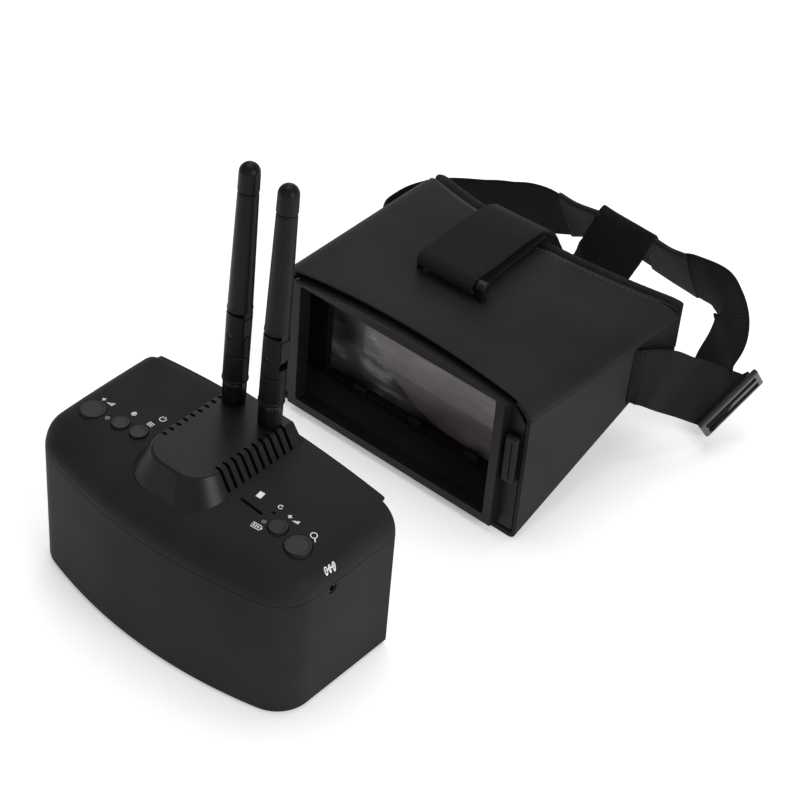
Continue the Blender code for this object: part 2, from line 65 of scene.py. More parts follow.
def clearSelection():
    if bpy.context.object and bpy.context.object.mode != "OBJECT":
        bpy.ops.object.mode_set(mode="OBJECT")
    bpy.ops.object.select_all(action="DESELECT")


def pick(piece):
    clearSelection()
    piece.select_set(True)
    bpy.context.view_layer.objects.active = piece


def useModifier(piece, kind, **settings):
    pick(piece)
    modifier = piece.modifiers.new(kind.lower(), kind)
    for key, value in settings.items():
        setattr(modifier, key, value)
    bpy.ops.object.modifier_apply(modifier=modifier.name)
    return piece


def weld(piece, close=True):
    # merges the seam of a rolled-up sheet, closes its open ends and turns its faces outwards
    pick(piece)
    bpy.ops.object.mode_set(mode="EDIT")
    bpy.ops.mesh.select_all(action="SELECT")
    bpy.ops.mesh.remove_doubles(threshold=2e-6)
    if close:
        bpy.ops.mesh.fill_holes(sides=0)
        bpy.ops.mesh.select_all(action="SELECT")
    bpy.ops.mesh.normals_make_consistent(inside=False)
    bpy.ops.object.mode_set(mode="OBJECT")
    return piece


def faceOut(piece, centre):
    # turns an open sheet's faces away from centre, given in mm
    mesh, middle = piece.data, Vector(centre) * mm
    if sum(face.area * face.normal.dot((face.center - middle).normalized()) for face in mesh.polygons) < 0:
        mesh.flip_normals()
    return piece


def formSheet(name, columns, rows, spot):
    # a grid whose points are put at spot(u, v) in mm, with u and v from 0 to 1
    clearSelection()
    bpy.ops.mesh.primitive_grid_add(x_subdivisions=columns, y_subdivisions=rows, size=2.0)
    sheet = bpy.context.object
    sheet.name = sheet.data.name = name
    for vert in sheet.data.vertices:
        vert.co = Vector(spot((vert.co.x + 1) / 2, (vert.co.y + 1) / 2)) * mm
    return sheet


def loft(name, rings):
    count = len(rings[0])

    def spot(u, v):
        return rings[round(v * (len(rings) - 1))][round(u * count) % count]
    return weld(formSheet(name, count, len(rings) - 1, spot))


def turned(name, profile, at=(0, 0, 0), along=(0, 0, 1), segments=64, shape=None):
    # a lathe: profile is (radius, height) in mm; shape may change the radius with angle and height
    turn = Vector(along).to_track_quat("Z", "Y")

    def spot(u, v):
        radius, height = profile[round(v * (len(profile) - 1))]
        angle = 2 * pi * (round(u * segments) % segments) / segments
        if shape:
            radius = shape(radius, angle, height)
        return Vector(at) + turn @ Vector((radius * cos(angle), radius * sin(angle), height))
    return weld(formSheet(name, segments, len(profile) - 1, spot))


def rounded(profile, size, steps=4):
    # rounds the inner corners of an open profile by size mm
    soft = [profile[0]]
    for a, b, c in zip(profile, profile[1:], profile[2:]):
        a, b, c = Vector(a), Vector(b), Vector(c)
        start = b + (a - b).normalized() * min(size, (a - b).length / 2.1)
        end = b + (c - b).normalized() * min(size, (c - b).length / 2.1)
        for k in range(steps + 1):
            t = k / steps
            soft.append(tuple(start.lerp(b, t).lerp(b.lerp(end, t), t)))
    return [*soft, profile[-1]]


def peg(name, radius, low, high, at=(0, 0, 0), along=(0, 0, 1), segments=64):
    return turned(name, [(0, low), (radius, low), (radius, high), (0, high)], at, along, segments)


def plate(name, outline, low, high, axis="Z"):
    # an outline pulled out from low to high along the axis, Z or Y
    if axis == "Z":
        return loft(name, [[(a, b, h) for a, b in outline] for h in (low, high)])
    return loft(name, [[(a, h, b) for a, b in outline] for h in (low, high)])


def block(name, low, high, soft=0.0, segments=3):
    low, high = Vector(low), Vector(high)
    clearSelection()
    bpy.ops.mesh.primitive_cube_add(size=1.0, location=(low + high) / 2 * mm, scale=(high - low) * mm)
    piece = bpy.context.object
    piece.name = piece.data.name = name
    bpy.ops.object.transform_apply(location=True, rotation=True, scale=True)
    if soft:
        bpy.ops.object.mode_set(mode="EDIT")
        bpy.ops.mesh.select_all(action="SELECT")
        bpy.ops.mesh.bevel(offset=soft * mm, segments=segments, affect="EDGES")
        bpy.ops.object.mode_set(mode="OBJECT")
    return piece


def cutAway(piece, tool, operation="DIFFERENCE"):
    useModifier(piece, "BOOLEAN", object=tool, operation=operation, solver="EXACT")
    bpy.data.objects.remove(tool)
    return piece


def joined(name, pieces):
    clearSelection()
    for piece in pieces:
        piece.select_set(True)
    bpy.context.view_layer.objects.active = pieces[0]
    bpy.ops.object.join()
    bpy.context.object.name = bpy.context.object.data.name = name
    return bpy.context.object


def moved(piece, matrix):
    piece.data.transform(matrix)
    return piece


def finishPiece(piece, body, material, slot, *replaced, angle=32):
    pick(piece)
    bpy.ops.object.transform_apply(location=True, rotation=True, scale=True)
    bpy.ops.object.shade_smooth_by_angle(angle=radians(angle))
    useModifier(piece, "WEIGHTED_NORMAL", keep_sharp=True)
    piece.data.materials.clear()
    piece.data.materials.append(material)
    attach(piece, body)
    if replaced:
        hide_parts(*replaced)
    return piece


def softEdges(piece, width, segments=3, angle=30):
    return useModifier(piece, "BEVEL", width=width * mm, segments=segments, limit_method="ANGLE",
                       angle_limit=radians(angle), use_clamp_overlap=True)


view = {"place": (0.4896, -0.5077, 0.7068), "azimuth": 37.33, "elevation": 39.58, "roll": 5.14, "lens": 97.8}


def makeCamera():
    turn, rise, roll = (radians(view[key]) for key in ("azimuth", "elevation", "roll"))
    back = Vector((sin(turn) * cos(rise), -cos(turn) * cos(rise), sin(rise)))
    across = Vector((cos(turn), sin(turn), 0.0))
    upward = back.cross(across)
    right = across * cos(roll) + upward * sin(roll)
    top = upward * cos(roll) - across * sin(roll)
    data = bpy.data.cameras.new("shot")
    data.lens, data.sensor_width, data.clip_start = view["lens"], 36.0, 0.01
    camera = bpy.data.objects.new("shot", data)
    bpy.context.scene.collection.objects.link(camera)
    turnMatrix = Matrix((right, top, back)).transposed().to_4x4()
    camera.matrix_world = Matrix.Translation(view["place"]) @ turnMatrix
    bpy.context.scene.camera = camera


def addLamp(name, place, target, size, power):
    data = bpy.data.lights.new(name, "AREA")
    data.shape, data.size, data.energy = "DISK", size, power
    lamp = bpy.data.objects.new(name, data)
    bpy.context.scene.collection.objects.link(lamp)
    lamp.location = place
    lamp.rotation_euler = (Vector(place) - Vector(target)).to_track_quat("Z", "Y").to_euler()


def toLinear(code, alpha=1.0):
    parts = [int(code[k:k + 2], 16) / 255 for k in (1, 3, 5)]
    return (*[c / 12.92 if c <= 0.04045 else ((c + 0.055) / 1.055) ** 2.4 for c in parts], alpha)


makeCamera()
centre = (0.0, 0.12, 0.05)
addLamp("overhead", (-0.25, 0.35, 1.5), centre, 1.3, 10)
addLamp("front", (0.2, -1.5, 0.9), centre, 1.0, 1.6)
addLamp("right", (1.5, -0.1, 0.7), centre, 0.9, 13)
addLamp("behind", (-0.9, 1.3, 0.9), centre, 0.9, 3)
bpy.context.scene.view_settings.view_transform = "Standard"
world = bpy.data.worlds.new("studio")
world.use_nodes = True
sky = world.node_tree.nodes["Background"].inputs
sky["Color"].default_value = toLinear("#FFFFFF")
sky["Strength"].default_value = 0.42
bpy.context.scene.world = world
print("camera and lamps")


def wire(node, links):
    # links: the name of an input, with the node and the output that feed it
    for key, (source, socket) in links.items():
        node.id_data.links.new(source.outputs[socket], node.inputs[key])


def addNode(tree, kind, inputs=None, links=None, **settings):
    node = tree.nodes.new(kind)
    for key, value in settings.items():
        setattr(node, key, value)
    for key, value in (inputs or {}).items():
        node.inputs[key].default_value = value
    wire(node, links or {})
    return node


def startFinish(name, color, roughness, **uniform):
    # uniform: values that are the same all over, set on the shader itself
    material = bpy.data.materials.new(name)
    material.use_nodes = True
    tree = material.node_tree
    shader = tree.nodes["Principled BSDF"]
    shader.inputs["Base Color"].default_value = toLinear(color)
    shader.inputs["Roughness"].default_value = roughness
    for key, value in uniform.items():
        shader.inputs[key.replace("_", " ")].default_value = value
    return material, tree, shader, (addNode(tree, "ShaderNodeTexCoord"), "Object")


def stops(node, *pairs):
    ramp = node.color_ramp
    for k, (position, color) in enumerate(pairs):
        spot = ramp.elements[k] if k < 2 else ramp.elements.new(position)
        spot.position, spot.color = position, toLinear(color)
    return node


def mouldedFinish(name, dark, light, roughness, grain, bump, **uniform):
    # spark-eroded mould texture: fine even grain, faint cloudy tone, slightly polished high spots
    material, tree, shader, where = startFinish(name, dark, roughness, **uniform)
    clouds = addNode(tree, "ShaderNodeTexNoise", {"Scale": 22.0, "Detail": 3.0}, {"Vector": where})
    tone = stops(addNode(tree, "ShaderNodeValToRGB", links={"Fac": (clouds, "Fac")}),
                 (0.35, dark), (0.68, light))
    fine = addNode(tree, "ShaderNodeTexNoise", {"Scale": 1000.0 / grain, "Detail": 2.0, "Roughness": 0.6},
                   {"Vector": where})
    rough = addNode(tree, "ShaderNodeMapRange", {"From Min": 0.3, "From Max": 0.7, "To Min": roughness - 0.06,
                                                 "To Max": roughness + 0.08}, {"Value": (fine, "Fac")})
    relief = addNode(tree, "ShaderNodeBump", {"Strength": bump, "Distance": 0.00012},
                     {"Height": (fine, "Fac")})
    wire(shader, {"Base Color": (tone, "Color"), "Roughness": (rough, "Result"),
                  "Normal": (relief, "Normal")})
    return material


def wovenFinish(name, dark, light, rib, bump, **uniform):
    # woven elastic: cross ribs over fine lengthwise threads, seen coarser than the real 0.6 mm
    material, tree, shader, where = startFinish(name, dark, 0.86, **uniform)
    cloth = (where[0], "UV")
    ribs = addNode(tree, "ShaderNodeTexWave",
                   {"Scale": 1000.0 / rib / 3.2, "Distortion": 0.35, "Detail": 1.0},
                   {"Vector": cloth}, bands_direction="X")
    threads = addNode(tree, "ShaderNodeTexWave", {"Scale": 1000.0 / rib / 2.3, "Distortion": 0.5},
                      {"Vector": cloth}, bands_direction="Y")
    weave = addNode(tree, "ShaderNodeMath", {2: 0.5},
                    {0: (ribs, "Fac"), 1: (threads, "Fac")}, operation="MULTIPLY")
    height = addNode(tree, "ShaderNodeMath", {}, {0: (weave, "Value"), 1: (ribs, "Fac")}, operation="ADD")
    cloud = addNode(tree, "ShaderNodeTexNoise", {"Scale": 90.0}, {"Vector": where})
    mixed = addNode(tree, "ShaderNodeMath", {},
                    {0: (height, "Value"), 1: (cloud, "Fac")}, operation="MULTIPLY")
    tone = stops(addNode(tree, "ShaderNodeValToRGB", links={"Fac": (mixed, "Value")}),
                 (0.15, dark), (0.9, light))
    relief = addNode(tree, "ShaderNodeBump", {"Strength": bump, "Distance": 0.00025},
                     {"Height": (height, "Value")})
    wire(shader, {"Base Color": (tone, "Color"), "Normal": (relief, "Normal")})
    return material


softTouchAbs = mouldedFinish("softTouchAbs", "#1F1D1F", "#262325", 0.54, 0.55, 0.22, Specular_IOR_Level=0.07)
receiverAbs = mouldedFinish("receiverAbs", "#121113", "#181618", 0.34, 0.5, 0.12, Specular_IOR_Level=0.2)
satinAbs = mouldedFinish("satinAbs", "#0F0F10", "#161517", 0.42, 0.6, 0.12, Specular_IOR_Level=0.18)
keycapAbs = mouldedFinish("keycapAbs", "#201F21", "#292729", 0.44, 0.45, 0.18, Specular_IOR_Level=0.24)
forkNylon = mouldedFinish("forkNylon", "#0A090A", "#0F0E0F", 0.42, 0.8, 0.08, Specular_IOR_Level=0.12)
antennaTpe = mouldedFinish("antennaTpe", "#0C0B0C", "#121112", 0.38, 0.8, 0.08, Specular_IOR_Level=0.14)
buckleNylon = mouldedFinish("buckleNylon", "#1E1D1F", "#272628", 0.40, 0.7, 0.10, Specular_IOR_Level=0.3)
nap = {"Sheen_Roughness": 0.5, "Specular_IOR_Level": 0.1}
wovenElastic = wovenFinish("wovenElastic", "#111112", "#1F1E20", 0.9, 0.3, Sheen_Weight=0.03, **nap)
foamCloth = wovenFinish("foamCloth", "#0F0E10", "#201F21", 1.5, 0.6, Sheen_Weight=0.05, **nap)
stitchThread = wovenFinish("stitchThread", "#2E2D30", "#4A494C", 0.4, 0.2)
sleeveCloth = wovenFinish("sleeveCloth", "#1C1B1D", "#2B2A2C", 1.2, 0.3, Sheen_Weight=0.06, **nap)
whiteInk = mouldedFinish("padPrintedInk", "#D8D8D6", "#E8E8E6", 0.55, 0.4, 0.05)
milkyWindow = mouldedFinish("milkyPolycarbonate", "#5E5D60", "#6C6B6E", 0.3, 1.0, 0.02,
                            Transmission_Weight=0.2)


def metalFinish(name, dark, light, roughness, grain):
    # plated metal: soft brushed streaks and a little tarnish
    material, tree, shader, where = startFinish(name, dark, roughness, Metallic=1.0)
    streaks = addNode(tree, "ShaderNodeTexNoise", {"Scale": 1000.0 / grain, "Detail": 4.0},
                      {"Vector": where})
    tone = stops(addNode(tree, "ShaderNodeValToRGB", links={"Fac": (streaks, "Fac")}),
                 (0.3, dark), (0.7, light))
    relief = addNode(tree, "ShaderNodeBump", {"Strength": 0.1, "Distance": 0.00005},
                     {"Height": (streaks, "Fac")})
    wire(shader, {"Base Color": (tone, "Color"), "Normal": (relief, "Normal")})
    return material


blackNickel = metalFinish("blackNickel", "#2C2A2B", "#3C393A", 0.34, 1.2)


def circuitFinish():
    # green solder mask with fine traces and tinned pads
    material, tree, shader, where = startFinish("solderMask", "#123F22", 0.4)
    cells = addNode(tree, "ShaderNodeTexVoronoi", {"Scale": 260.0}, {"Vector": where},
                    feature="F1", distance="CHEBYCHEV")
    tone = stops(addNode(tree, "ShaderNodeValToRGB", links={"Fac": (cells, "Distance")}),
                 (0.10, "#B9B7AE"), (0.14, "#123F22"), (0.55, "#1B5A31"))
    wire(shader, {"Base Color": (tone, "Color")})
    return material


def wrapFinish():
    # shrink film over cells, with soft creases
    material, tree, shader, where = startFinish("shrinkFilm", "#1D3D7A", 0.3)
    folds = addNode(tree, "ShaderNodeTexWave", {"Scale": 9.0, "Distortion": 3.0}, {"Vector": where})
    tone = stops(addNode(tree, "ShaderNodeValToRGB", links={"Fac": (folds, "Fac")}),
                 (0.2, "#1A3568"), (0.8, "#244A8C"))
    relief = addNode(tree, "ShaderNodeBump", {"Strength": 0.4, "Distance": 0.0004},
                     {"Height": (folds, "Fac")})
    wire(shader, {"Base Color": (tone, "Color"), "Normal": (relief, "Normal")})
    return material


def screenFinish():
    # a switched-off liquid crystal panel: near-black glass with a faintly cloudy tone
    material, tree, shader, where = startFinish("panelGlass", "#101114", 0.12, IOR=1.5, Coat_Weight=0.6)
    haze = addNode(tree, "ShaderNodeTexNoise", {"Scale": 9.0}, {"Vector": where})
    tone = stops(addNode(tree, "ShaderNodeValToRGB", links={"Fac": (haze, "Fac")}),
                 (0.3, "#0D0E11"), (0.7, "#16181D"))
    wire(shader, {"Base Color": (tone, "Color")})
    return material


def lensFinish():
    # grooved acrylic sheet with painted reflection in its colour: grey veils and long streaks of painted
    # reflection and painted highlight, ring grooves, and a round edge drawn about a point near the sheet's
    # upper right, inside which lies a lighter painted reflection band
    material, tree, shader, where = startFinish("groovedAcrylic", "#2A292C", 0.3, IOR=1.49, Coat_Weight=0.35)
    lean = addNode(tree, "ShaderNodeMapping",
                   {"Rotation": (0.0, radians(38), 0.0), "Scale": (7.0, 1.0, 30.0)},
                   {"Vector": where})
    # long streaks times patches: the mask of where painted reflection and painted highlight lie on the sheet
    streaks = addNode(tree, "ShaderNodeTexNoise", {"Scale": 3.2, "Detail": 7.0, "Roughness": 0.66},
                      {"Vector": (lean, "Vector")})
    reflectionPatches = addNode(tree, "ShaderNodeTexNoise", {"Scale": 26.0, "Detail": 2.0}, {"Vector": where})
    paintedReflectionMask = addNode(tree, "ShaderNodeMath", {},
                    {0: (streaks, "Fac"), 1: (reflectionPatches, "Fac")}, operation="MULTIPLY")
    # grey veils of painted reflection and painted highlight, outside the round edge
    paintedReflectionVeil = stops(addNode(tree, "ShaderNodeValToRGB", links={"Fac": (paintedReflectionMask, "Value")}),
                 (0.15, "#151416"), (0.26, "#454346"), (0.40, "#A5A3A5"))
    # lighter pinkish grey inside the round edge: a painted reflection band
    clear = stops(addNode(tree, "ShaderNodeValToRGB", links={"Fac": (paintedReflectionMask, "Value")}),
                  (0.15, "#4E4444"), (0.32, "#6B6060"), (0.48, "#948A88"))
    flat = addNode(tree, "ShaderNodeVectorMath", {1: (1.0, 0.0, 1.0)}, {0: where}, operation="MULTIPLY")
    far = addNode(tree, "ShaderNodeVectorMath", {1: (0.023, 0.0, 0.080)}, {0: (flat, "Vector")},
                  operation="DISTANCE")
    # the round edge of the painted reflection band
    reflectionBandMask = addNode(tree, "ShaderNodeMapRange", {"From Min": 0.0646, "From Max": 0.0634},
                     {"Value": (far, "Value")})
    mix = addNode(tree, "ShaderNodeMix", links={"Factor": (reflectionBandMask, "Result"), "A": (paintedReflectionVeil, "Color"),
                                                "B": (clear, "Color")}, data_type="RGBA")
    middle = addNode(tree, "ShaderNodeMapping", {"Location": (0.0, 0.0, -0.046)},
                     {"Vector": (flat, "Vector")})
    rings = addNode(tree, "ShaderNodeTexWave", {"Scale": 300.0}, {"Vector": (middle, "Vector")},
                    wave_type="RINGS", rings_direction="SPHERICAL")
    relief = addNode(tree, "ShaderNodeBump", {"Strength": 0.06, "Distance": 0.0001},
                     {"Height": (rings, "Fac")})
    wire(shader, {"Base Color": (mix, "Result"), "Normal": (relief, "Normal")})
    return material


solderMask, shrinkFilm = circuitFinish(), wrapFinish()
panelGlass, groovedAcrylic = screenFinish(), lensFinish()
print("finishes")


shell = {"half": 77.5, "depth": 78.5, "frontRadius": 240.0, "cornerRadius": 18.0, "wall": 2.2, "seam": 65.0,
         "crown": 86.5, "crownDrop": 5.5, "lipHalf": 68.0, "lip": 2.5, "plateau": 95.0, "footRound": 2.4}
cornerX = shell["half"] - shell["cornerRadius"]
cornerY = (shell["frontRadius"] - shell["depth"]
           - sqrt((shell["frontRadius"] - shell["cornerRadius"]) ** 2 - cornerX ** 2))


def modulePlan(inset, rear, cornerSteps=16, frontSteps=28):
    turn = pi / 2 - asin(cornerX / (shell["frontRadius"] - shell["cornerRadius"]))
    small, wide = shell["cornerRadius"] - inset, shell["frontRadius"] - inset
    corner = [(cornerX + small * cos(-turn * k / cornerSteps), cornerY + small * sin(-turn * k / cornerSteps))
              for k in range(cornerSteps + 1)]
    sweep = pi / 2 - turn
    front = [(wide * sin(sweep * k / frontSteps), shell["frontRadius"] - shell["depth"]
              - wide * cos(sweep * k / frontSteps)) for k in range(frontSteps - 1, 0, -1)]
    sides = [(shell["half"] - inset, rear + (cornerY - rear) * k / 6) for k in range(6)]
    right = [*sides, *corner, *front]
    plan = [*right, (0.0, inset - shell["depth"]), *[(-x, y) for x, y in reversed(right)]]
    return [(x, y + moduleY) for x, y in plan]


def wallDistance(x, y):
    side = shell["half"] - abs(x)
    front = shell["frontRadius"] - hypot(x, y - (shell["frontRadius"] - shell["depth"]))
    near = min(side, front)
    overX, overY = abs(x) - cornerX, cornerY - y
    if overX > 0 and overY > 0:
        slant = cornerX / sqrt((shell["frontRadius"] - shell["cornerRadius"]) ** 2 - cornerX ** 2)
        if overX > overY * slant:
            near = shell["cornerRadius"] - hypot(overX, overY)
    return max(near, 0.0), side ** 2 / (side ** 2 + front ** 2 + 1e-9)


def coverTop(x, y):
    # height of the module's top at its own x, y: crowned across, rolling softly down to the seam
    top = shell["crown"] - shell["crownDrop"] * (x / 70) ** 2 - 2.0 * (min(y, 0.0) / 60) ** 2
    near, frontness = wallDistance(x, y)
    roll = 12 + 26 * frontness
    part = max(0.0, (roll - near) / roll)
    return shell["seam"] + (top - shell["seam"]) * max(0.0, 1 - part ** 2.6) ** (1 / 2.6)


def frontWall(x, inset):
    x = abs(x)
    if x < shell["frontRadius"] * cornerX / (shell["frontRadius"] - shell["cornerRadius"]):
        return shell["frontRadius"] - shell["depth"] - sqrt((shell["frontRadius"] - inset) ** 2 - x ** 2)
    return cornerY - sqrt(max((shell["cornerRadius"] - inset) ** 2 - (x - cornerX) ** 2, 0.0))


def makeDisplayBody():
    foot = shell["footRound"]
    levels = [(foot * (1 - sin(pi / 2 * k / 5)), foot * (1 - cos(pi / 2 * k / 5))) for k in range(6)]
    rings = [[(x, y, z) for x, y in modulePlan(inset, 0.0)] for inset, z in levels]
    rings += [[(x, y, z) for x, y in modulePlan(0.0, 0.0)] for z in (20.0, 45.0, shell["seam"] - 0.3)]
    body = loft("displayCasing", rings)
    cutAway(body, plate("hollow", modulePlan(shell["wall"], 20.0), shell["wall"], 80.0))
    cutAway(body, peg("jackHole", jack["hole"], 0, 30, (60, moduleY + jack["y"], jack["z"]), (1, 0, 0)))
    finishPiece(body, "module", softTouchAbs, "black_abs", "display_body")


def solidUnder(name, columns, rows, spot, floor):
    # a solid whose top is the sheet at spot(u, v) and whose walls run straight down to floor
    solid = formSheet(name, columns, rows, spot)
    pick(solid)
    bpy.ops.object.mode_set(mode="EDIT")
    bpy.ops.mesh.select_all(action="DESELECT")
    bpy.ops.mesh.select_mode(type="EDGE")
    bpy.ops.mesh.select_non_manifold()
    bpy.ops.mesh.extrude_edges_move()
    bpy.ops.object.mode_set(mode="OBJECT")
    for vert in solid.data.vertices:
        if vert.select:
            vert.co.z = floor * mm
    bpy.ops.object.mode_set(mode="EDIT")
    bpy.ops.mesh.edge_face_add()
    bpy.ops.mesh.select_mode(type="VERT")
    bpy.ops.mesh.select_all(action="SELECT")
    bpy.ops.mesh.remove_doubles(threshold=2e-6)
    bpy.ops.mesh.normals_make_consistent(inside=False)
    bpy.ops.object.mode_set(mode="OBJECT")
    return solid


lipEase = 0.7  # mm the rear lip is lowered, so that it slides under the hood's front edge


def coverBlock(name, inset, rear, drop, floor, columns, rows):
    def spot(u, v):
        x = (shell["half"] - inset) * sin((u * 2 - 1) * pi / 2)
        y = rear + (frontWall(x, inset) - rear) * sin(v * pi / 2)
        ease = lipEase * min(1.0, max(0.0, (y + 0.8) / 1.6)) if drop == 0 else 0.0
        return x, y + moduleY, max(coverTop(x, y) - ease - drop, floor + 0.5)
    return solidUnder(name, columns, rows, spot, floor)


keys = {"band": (-60.5, -46.5, 5.8), "record": (-43.7, -46.0, 4.0), "menu": (-32.8, -45.5, 4.0),
        "channel": (50.2, -45.5, 4.2), "search": (62.5, -46.5, 5.9)}
keyRise, keyGap, switchTop = 1.2, 0.35, 73.2
smallHoles = ((-51.7, -46.3, 1.6), (43.6, -47.0, 1.6), (43.2, -40.6, 0.8))  # two lamps and the reset hole
jack = {"y": -40.0, "z": 62.0, "hole": 2.4, "radius": 2.1, "bore": 1.4, "pin": 0.5, "length": 12.0}


def makeTopCover():
    cover = coverBlock("topCover", 0.0, shell["lip"], 0.0, shell["seam"], 130, 80)
    cutAway(cover, coverBlock("hollow", shell["wall"], 20.0, shell["wall"], shell["seam"] - 10, 60, 40))
    for side in (-1, 1):
        ends = sorted((side * shell["lipHalf"], side * 90))
        cutAway(cover, block("notch", (ends[0], moduleY, 50), (ends[1], moduleY + 20, 100)))
    cutAway(cover, loft("humpHole", humpRings(0.05, 70.0)))
    for x, y, radius in keys.values():
        cutAway(cover, peg("well", radius + keyGap, 70, 95, (x, y + moduleY, 0)))
    for x, y, radius in smallHoles:
        cutAway(cover, peg("hole", radius, 70, 95, (x, y + moduleY, 0), segments=32))
    cutAway(cover, block("cardSlot", (27.5, moduleY - 45.6, 70), (40.5, moduleY - 44.0, 95), 0.5))
    finishPiece(cover, "module", softTouchAbs, "black_abs", "top_cover", angle=38)


def humpPlan(half, front, radius, rear, steps=14):
    arc = [(half - radius + radius * cos(pi / 2 * k / steps),
            front + radius - radius * sin(pi / 2 * k / steps)) for k in range(steps + 1)]
    right = [(half, rear), *arc]
    plan = [*right, *[(-x, y) for x, y in reversed(right)]]
    return [(x, y + moduleY) for x, y in plan]


antenna = {"x": 10.8, "y": moduleY - 9.4, "base": 95.0, "lean": 3.0, "pivot": 37.0, "radius": 5.7,
           "top": 108.2, "nutTop": 11.8, "pin": 1.3, "gap": 2.6, "tongue": 2.3, "tongueRadius": 5.3}
hump = {"foot": (26, -66.6, 18, 0.2), "top": (17.5, -60.5, 13, -1.0), "low": 78.0, "base": 81.0}


def humpRings(grow, low):
    rings = []
    for plan, z in ((hump["foot"], low), (hump["foot"], hump["base"]), (hump["top"], shell["plateau"])):
        half, front, radius, rear = plan
        rings.append([(x, y, z) for x, y in humpPlan(half + grow, front - grow, radius, rear + grow)])
    return rings


def makeReceiverCover():
    cover = softEdges(loft("receiverCover", humpRings(0.0, hump["low"])), 1.1, 4, 25)
    inner = [((23, -64, 16, -5.3), 70.0), ((23, -64, 16, -5.3), 83.0), ((15.5, -58.5, 11, -5.5), 93.0)]
    cutAway(cover, loft("hollow", [[(x, y, z) for x, y in humpPlan(*plan)] for plan, z in inner]))
    cutAway(cover, block("lipRoom", (-30, moduleY - 5.2, 70), (30, moduleY + 5, 84.3)))
    vents = {"count": 10, "first": -46.5, "pitch": 4.3, "width": 1.7, "top": 17.1, "foot": 22.9}
    slope = Vector((7.5, 0, -12)).normalized()
    out = Vector((12, 0, 7.5)).normalized()
    for side in (-1, 1):
        cutters = []
        for k in range(vents["count"]):
            y = vents["first"] + vents["pitch"] * k + moduleY
            ring = []
            for t in range(20):
                angle = 2 * pi * t / 20
                end = vents["top"] if sin(angle) < 0 else vents["foot"]
                along = sin(angle) * vents["width"] / 2
                x = end + slope.x * along
                z = shell["plateau"] - (end - 17.5) * 12 / 7.5 + slope.z * along
                ring.append(Vector((side * x, y + cos(angle) * vents["width"] / 2, z)))
            push = Vector((side * out.x, 0, out.z))
            cutters.append(loft("vent", [[p - push * 4 for p in ring], [p + push * 4 for p in ring]]))
        cutAway(cover, joined("vents", cutters))
        cutAway(cover, peg("bore", 3.6, 80, 100, (side * antenna["x"], antenna["y"], 0), segments=40))
    finishPiece(cover, "module", receiverAbs, "black_abs", "receiver_cover", angle=20)


def makeKeys():
    for name, (x, y, radius) in keys.items():
        top = coverTop(x, y) + keyRise
        stem = min(2.0, radius - 1)
        profile = rounded([(0, switchTop), (stem, switchTop), (stem, top - 4.5), (radius, top - 4.5),
                           (radius, top), (radius - 0.8, top), (radius - 1.2, top - 0.3),
                           (0, top - 0.3)], 0.3, 3)
        cap = turned(name + "Key", profile, (x, y + moduleY, 0))
        finishPiece(cap, name + "_button", keycapAbs, "black_abs", name + "_button")


def makeJack():
    radius, bore, pin, long = (jack[key] for key in ("radius", "bore", "pin", "length"))
    profile = rounded([(0, 0), (radius, 0), (radius, long), (bore, long), (bore, 4.0), (pin, 4.0),
                       (pin, long - 1), (0, long - 1)], 0.25, 2)
    barrel = turned("powerJack", profile, (65, moduleY + jack["y"], jack["z"]), (1, 0, 0), 48)
    finishPiece(barrel, "module", blackNickel, "plated_metal", "power_jack")


makeDisplayBody()
makeTopCover()
makeReceiverCover()
makeKeys()
makeJack()
print("module casing")


def arcLine(cx, cy, radius, start=0, end=360, steps=20):
    return [(cx + radius * cos(radians(start + (end - start) * k / steps)),
             cy + radius * sin(radians(start + (end - start) * k / steps))) for k in range(steps + 1)]


def inkStroke(points, width):
    # a flat ribbon of ink that follows the cover, 0.05 mm proud of it
    pieces = []
    points = [Vector(p) for p in points]

    def spot(u, v):
        k = min(round(u * (len(points) - 1)), len(points) - 1)
        ahead = points[min(k + 1, len(points) - 1)] - points[max(k - 1, 0)]
        if (points[0] - points[-1]).length < 1e-6 and k in (0, len(points) - 1):
            ahead = points[1] - points[-2]
        across = Vector((-ahead.y, ahead.x)).normalized()
        at = points[k] + across * width * (v - 0.5)
        return at.x, at.y + moduleY, coverTop(at.x, at.y) + 0.06
    stroke = formSheet("ink", len(points) - 1, 1, spot)
    useModifier(stroke, "SOLIDIFY", thickness=0.1 * mm, offset=0.0)
    return stroke


def turnedSign(strokes, x, y, angle=0.0, size=1.0):
    turn = Matrix.Rotation(radians(angle), 2)
    return [([tuple(turn @ Vector(p) * size + Vector((x, y))) for p in line], width)
            for line, width in strokes]


